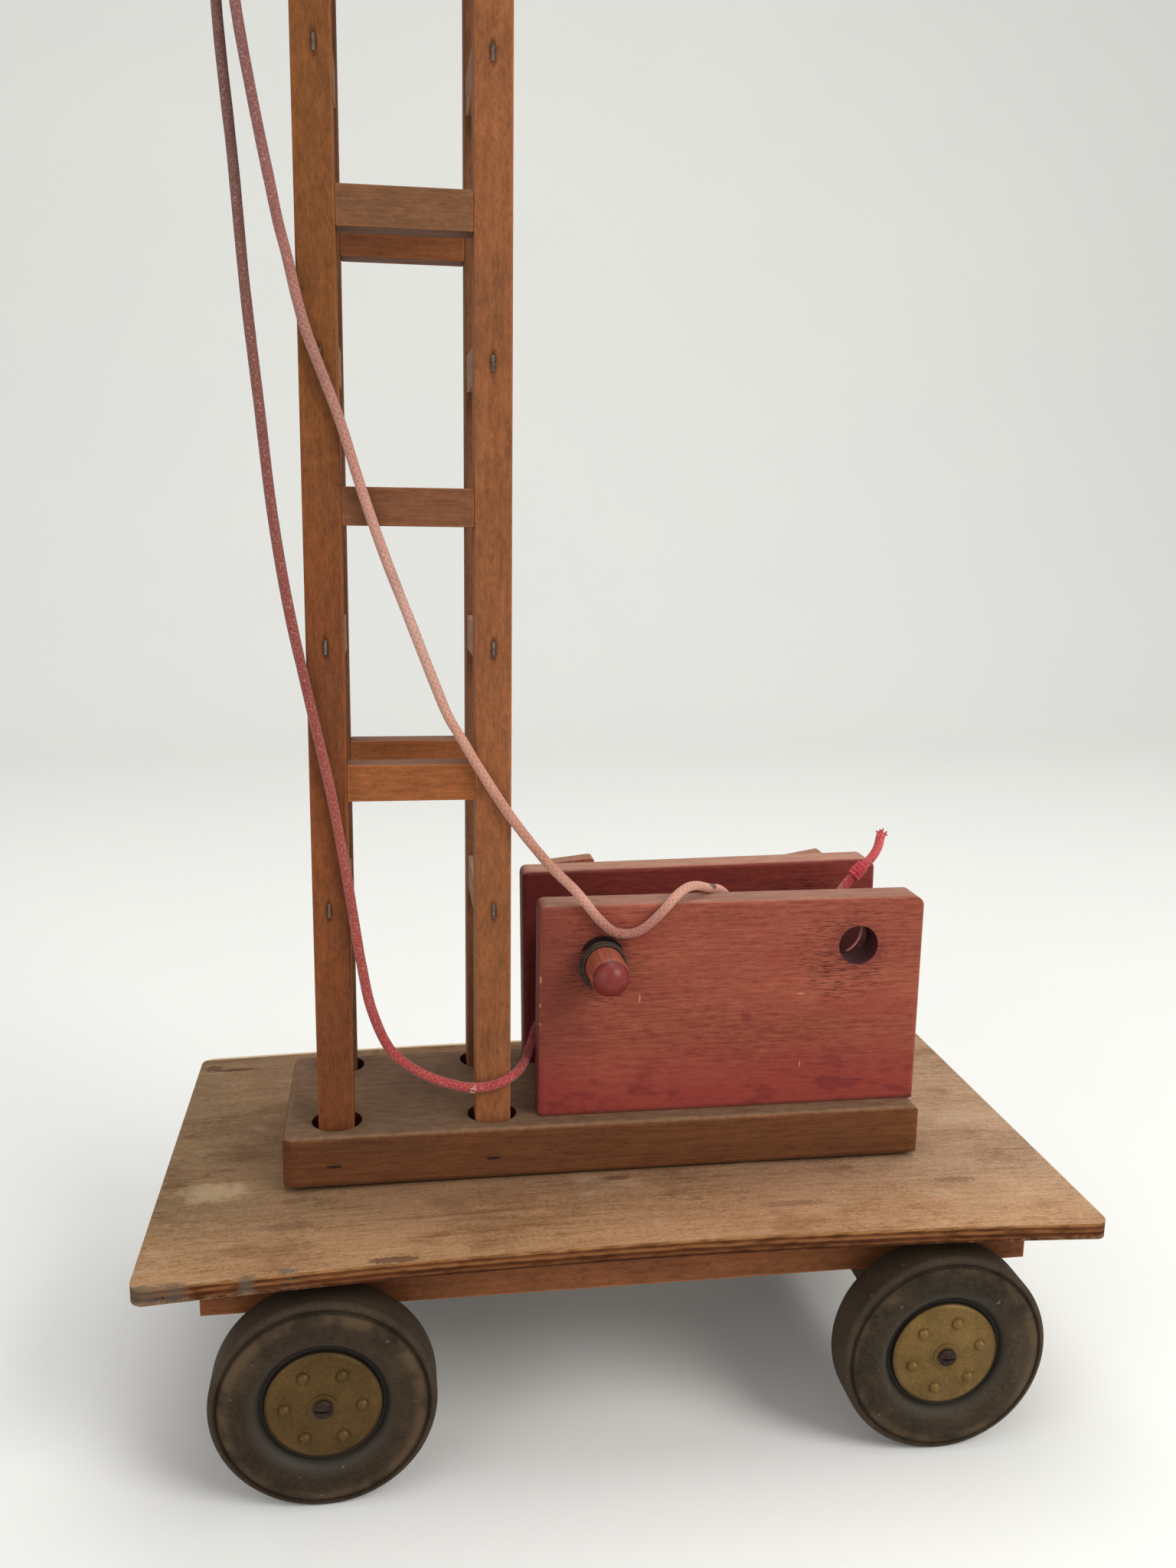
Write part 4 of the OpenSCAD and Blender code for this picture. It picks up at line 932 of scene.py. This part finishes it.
strand = smooth_path([(97.3, -27, 183.2), (97.0, -27.4, 180.4), (96.2, -27.6, 177.6), (94.7, -27.4, 174.9),
                      (92.8, -27, 172.8), (91.4, -26.6, 171.9)], 0.8)
tube("bearing_strand", strand, lambda t: 0.62 - 0.2 * t, strand_mat, "superstructure", 8, "pink_cord")


def around(c, y, a0, a1, n=24):
    return [(c[0] + LAY * math.cos(math.radians(a0 + (a1 - a0) * i / n)), y,
             c[2] + LAY * math.sin(math.radians(a0 + (a1 - a0) * i / n))) for i in range(n + 1)]


def span(name, points, mat, node, slot):
    o = tube(name, points, CORD_D / 2, mat, None, 12, slot, uneven=0.02)
    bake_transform(o)
    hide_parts(node)
    return o


def line(a, b, n):
    return [tuple(a[i] + (b[i] - a[i]) * k / n for i in range(3)) for k in range(1, n + 1)]


to_tip = math.degrees(math.atan2(HEAD[2] - TIP[2], HEAD[0] - TIP[0]))
hoist_a = 90 + to_tip
arc = around(HEAD, HOIST_Y, 0, hoist_a)
arrive = around(TIP, HOIST_Y, hoist_a, hoist_a + 40, 8)
span("hoist_run", arc + line(arc[-1], arrive[0], 60) + arrive[1:], pink_cord, "hoist_span", "pink_cord")
# Where the luff cord is tied to the jib.
TIE = (-322.0, LUFF_Y, 539.3)
d = (HEAD[0] - TIE[0] - 5, HEAD[2] - TIE[2] - 4)
luff_a = 90 + math.degrees(math.atan2(d[1], d[0]) + math.asin(LAY / math.hypot(*d)))
arc = around(HEAD, LUFF_Y, 0, luff_a)
end = (TIE[0] + 9, TIE[1], TIE[2] + 5.2)
tail = smooth_path([arc[-1], line(arc[-1], end, 12)[-2], end, (TIE[0] + 3, TIE[1], TIE[2] + 3.4),
                    (TIE[0], TIE[1], TIE[2] + 2), (TIE[0], TIE[1], TIE[2] + 0.2)], 1.5)
span("luff_run", arc + [tuple(p) for p in tail[1:]], red_cord, "luff_span", "red_cord")
# The length of the cord that carries the hook's weight.
FALL_L = 59.7
o = tube("tip_turn", around(TIP, HOIST_Y, hoist_a + 1.6, 180), CORD_D / 2, pink_cord, "fall", 12, "pink_cord")
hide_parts("tip_wrap")
fall = [(TIP[0] - LAY, HOIST_Y, TIP[2] - FALL_L * k / 40) for k in range(41)]
o = tube("fall_line", fall, CORD_D / 2, pink_cord, None, 12, "pink_cord")
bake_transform(o)
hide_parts("hook_fall")

# The turns on the left shaft: their radius, where they start along it, the step from the first turn to the
# second and the degrees it takes, and the pitch of the others. The first turn lies in one plane, so that the
# cord meets it at every angle of the crank, and the second steps clear of it.
WIND_R = 9.1
WIND_Y = -16.0
FIRST_STEP = 3.7
STEP_DEGREES = 60
PITCH_Y = 3.66


def wind_y(a):
    """Where along the shaft the winding is after so many degrees."""
    past = max(0.0, a - 360)
    s = min(1.0, past / STEP_DEGREES)
    return WIND_Y + FIRST_STEP * s * s * (3 - 2 * s) + PITCH_Y * past / 360


turns = []
for degrees in range(0, 8 * 360 + 1, 6):
    a = math.radians(degrees)
    turns.append((LEFT_AXIS[0] - WIND_R * math.cos(a), wind_y(degrees), LEFT_AXIS[2] + WIND_R * math.sin(a)))
turns.append((turns[-1][0], turns[-1][1], LEFT_AXIS[2] + 3.6))
wound_cord = cord_mat("wound_cord", [(160, (172, 60, 64)), (190, (186, 70, 72))], 0.4)
o = tube("wound_turns", turns, CORD_D / 2, wound_cord, "winch_left", 12, "red_cord")
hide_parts("luff_winding")


# Rungs with eased edges: half their width and height, their pitch up the tower, the two kinds' first heights.
RUNG_W, RUNG_H = 6, 6.5
RUNG_PITCH = 95.7
FRONT_RUNG_Z = BLOCK_TOP + 129.6
SIDE_RUNG_Z = BLOCK_TOP + 83
# The distance of the front and back rungs from the tower's middle plane, their ends, and the side rungs' half
# length.
RUNG_Y = 26.0
RUNG_ENDS = (-97, -52)
SIDE_RUNG_L = 19.5


def rung(name, axis, lo, hi, mid, k, top):
    mat = wood(name, axis, mid, dash=times(mid, 0.3), dash_amount=0.25, edge=(lo, hi),
               edge_col=times(mid, 1.7), edge_w=0.8, shift=(k * 17.0, k * 3.0, 4.0), top=top)
    return soft_box(name, lo, hi, mat, "superstructure", 0.5, "rung_wood")


RUNG_TONES = {"front": ((134, 78, 42), (113, 71, 45), (112, 75, 49), (110, 74, 47)),
              "back": ((134, 78, 42), (128, 75, 42), (124, 74, 42), (120, 72, 42))}
for side, y in (("front", -RUNG_Y), ("back", RUNG_Y)):
    for k, mid in enumerate(RUNG_TONES[side]):
        z = FRONT_RUNG_Z + RUNG_PITCH * k
        lo, hi = (RUNG_ENDS[0], y - RUNG_W, z - RUNG_H), (RUNG_ENDS[1], y + RUNG_W, z + RUNG_H)
        rung(f"rung_{side}_{k}", 0, lo, hi, mid, k, (rgb(146, 116, 98), 0.5))
    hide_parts("rungs_" + side)
for side, x in (("left", LEG_X[0]), ("right", LEG_X[1])):
    for k in range(5):
        z = SIDE_RUNG_Z + RUNG_PITCH * k
        lo, hi = (x - RUNG_W, -SIDE_RUNG_L, z - RUNG_H), (x + RUNG_W, SIDE_RUNG_L, z + RUNG_H)
        rung(f"rung_{side}_{k}", 1, lo, hi, (150, 108, 72), k + 9, (rgb(176, 150, 128), 0.6))
    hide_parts("rungs_" + side)

# Staples: flat crowns of wire across the joints, by half their width and height and how far they stand out.
STAPLE_W, STAPLE_H, STAPLE_OUT = 0.5, 2.6, 0.2
# The x of the back staples and the z of the lowest.
BACK_STAPLE_X = (-103.0, -46.0)
BACK_STAPLE_Z = 196
# The x of the tower's middle, and its left and right faces.
TOWER_X = -74.5
TOWER_SIDES = (-110.0, -39.0)
staple_mat = steel("staple_steel", (70, 63, 56), (118, 110, 100), 0.55)
places = [("y", LEG_FRONT, x, z) for leg in STAPLES.values() for x, z in leg]
places += [("y", -LEG_FRONT, x, BACK_STAPLE_Z + RUNG_PITCH * k) for x in BACK_STAPLE_X for k in range(4)]
places += [("x", x, y, FRONT_RUNG_Z + RUNG_PITCH * k)
           for x in TOWER_SIDES for y in (-RUNG_Y, RUNG_Y) for k in range(4)]
for i, (axis, face, a, z) in enumerate(places):
    out = math.copysign(STAPLE_OUT, face - (TOWER_X if axis == "x" else 0))
    lo = (a - STAPLE_W, min(face - out, face + out), z - STAPLE_H)
    hi = (a + STAPLE_W, max(face - out, face + out), z + STAPLE_H)
    if axis == "x":
        lo, hi = (lo[1], lo[0], lo[2]), (hi[1], hi[0], hi[2])
    soft_box(f"staple_{i}", lo, hi, staple_mat, "superstructure", 0.18, "steel", cuts=2)


# The double rubber ring on the left shaft, hanging a little at the left.
RING_R = 0.6
SHAFT_R = 7.2


def ring(name, y, lean, grow):
    pts = []
    for k in range(49):
        a = 2 * math.pi * k / 48
        r = SHAFT_R + RING_R + grow * max(0.0, -math.sin(a + 0.5))
        x, z = LEFT_AXIS[0] + r * math.cos(a), LEFT_AXIS[2] + r * math.sin(a)
        pts.append((x, y + lean * math.sin(a + 0.8), z))
    return tube(name, pts, RING_R, rubber, "winch_left", 10, "ring_rubber", cap=False)


o = ring("ring_near", -38.3, 0.6, 0.5)
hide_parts("ring_left")
ring("ring_far", -35.4, 0.9, 1.7)


# The floor in metres: its front, where it turns up, the turn's radius, the backdrop's top and the half width.
FLOOR_FRONT, FLOOR_TURN, TURN_R, BACKDROP_TOP, FLOOR_HALF = -3.0, 1.4, 0.8, 4.0, 4.5
# The lamps: name, place and target in metres, size, power and colour.
LAMPS = (("key", (1.3, -1.3, 1.5), (0, 0, 0.2), 1.2, 30, (1.0, 0.99, 0.97)),
         ("fill", (-1.4, -1.2, 1.0), (0, 0, 0.2), 1.5, 9, (1.0, 1.0, 1.0)),
         ("top", (0.1, 0.3, 2.0), (0, 0, 0.1), 1.6, 14, (1, 1, 1)))
# The world's strength as light, and as the background that shows.
WORLD = 0.55
WORLD_SEEN = 0.75


def floor():
    """A pale floor that turns up into a backdrop."""
    m = Mat("floor", 0.9, 0.1)
    m.color(m.mix(m.noise(0.004, 2), rgb(231, 231, 228), rgb(235, 235, 231)))
    profile = [(FLOOR_FRONT, 0.0), (FLOOR_TURN, 0.0)]
    for k in range(1, 17):
        a = math.pi / 2 * k / 16
        profile.append((FLOOR_TURN + TURN_R * math.sin(a), TURN_R - TURN_R * math.cos(a)))
    profile.append((FLOOR_TURN + TURN_R, BACKDROP_TOP))
    pts = [(x, y, z) for y, z in profile for x in (-FLOOR_HALF, FLOOR_HALF)]
    faces = [(2 * i, 2 * i + 1, 2 * i + 3, 2 * i + 2) for i in range(len(profile) - 1)]
    mesh = bpy.data.meshes.new("floor")
    mesh.from_pydata(pts, [], faces)
    mesh.polygons.foreach_set("use_smooth", [True] * len(mesh.polygons))
    place("floor", mesh, m)


def lights():
    for name, at, target, size, power, col in LAMPS:
        lamp = bpy.data.lights.new(name, "AREA")
        lamp.shape = "DISK"
        lamp.size = size
        lamp.energy = power
        lamp.color = col
        o = bpy.data.objects.new(name, lamp)
        o.location = at
        o.rotation_euler = (Vector(target) - Vector(at)).to_track_quat("-Z", "Y").to_euler()
        bpy.context.scene.collection.objects.link(o)


def world():
    """An even white light, with its own strength where it shows directly, in metal or through glass."""
    w = bpy.data.worlds.new("world")
    bpy.context.scene.world = w
    w.use_nodes = True
    nodes, links = w.node_tree.nodes, w.node_tree.links
    back = nodes["Background"]
    back.inputs[0].default_value = (1.0, 1.0, 1.0, 1)
    path = nodes.new("ShaderNodeLightPath")
    seen = path.outputs["Is Camera Ray"]
    for ray in ("Is Glossy Ray", "Is Transmission Ray"):
        n = nodes.new("ShaderNodeMath")
        n.use_clamp = True
        links.new(seen, n.inputs[0])
        links.new(path.outputs[ray], n.inputs[1])
        seen = n.outputs[0]
    n = nodes.new("ShaderNodeMath")
    n.operation = "MULTIPLY_ADD"
    links.new(seen, n.inputs[0])
    n.inputs[1].default_value = WORLD_SEEN - WORLD
    n.inputs[2].default_value = WORLD
    links.new(n.outputs[0], back.inputs[1])
    bpy.context.scene.view_settings.view_transform = "Standard"


camera()
floor()
lights()
world()
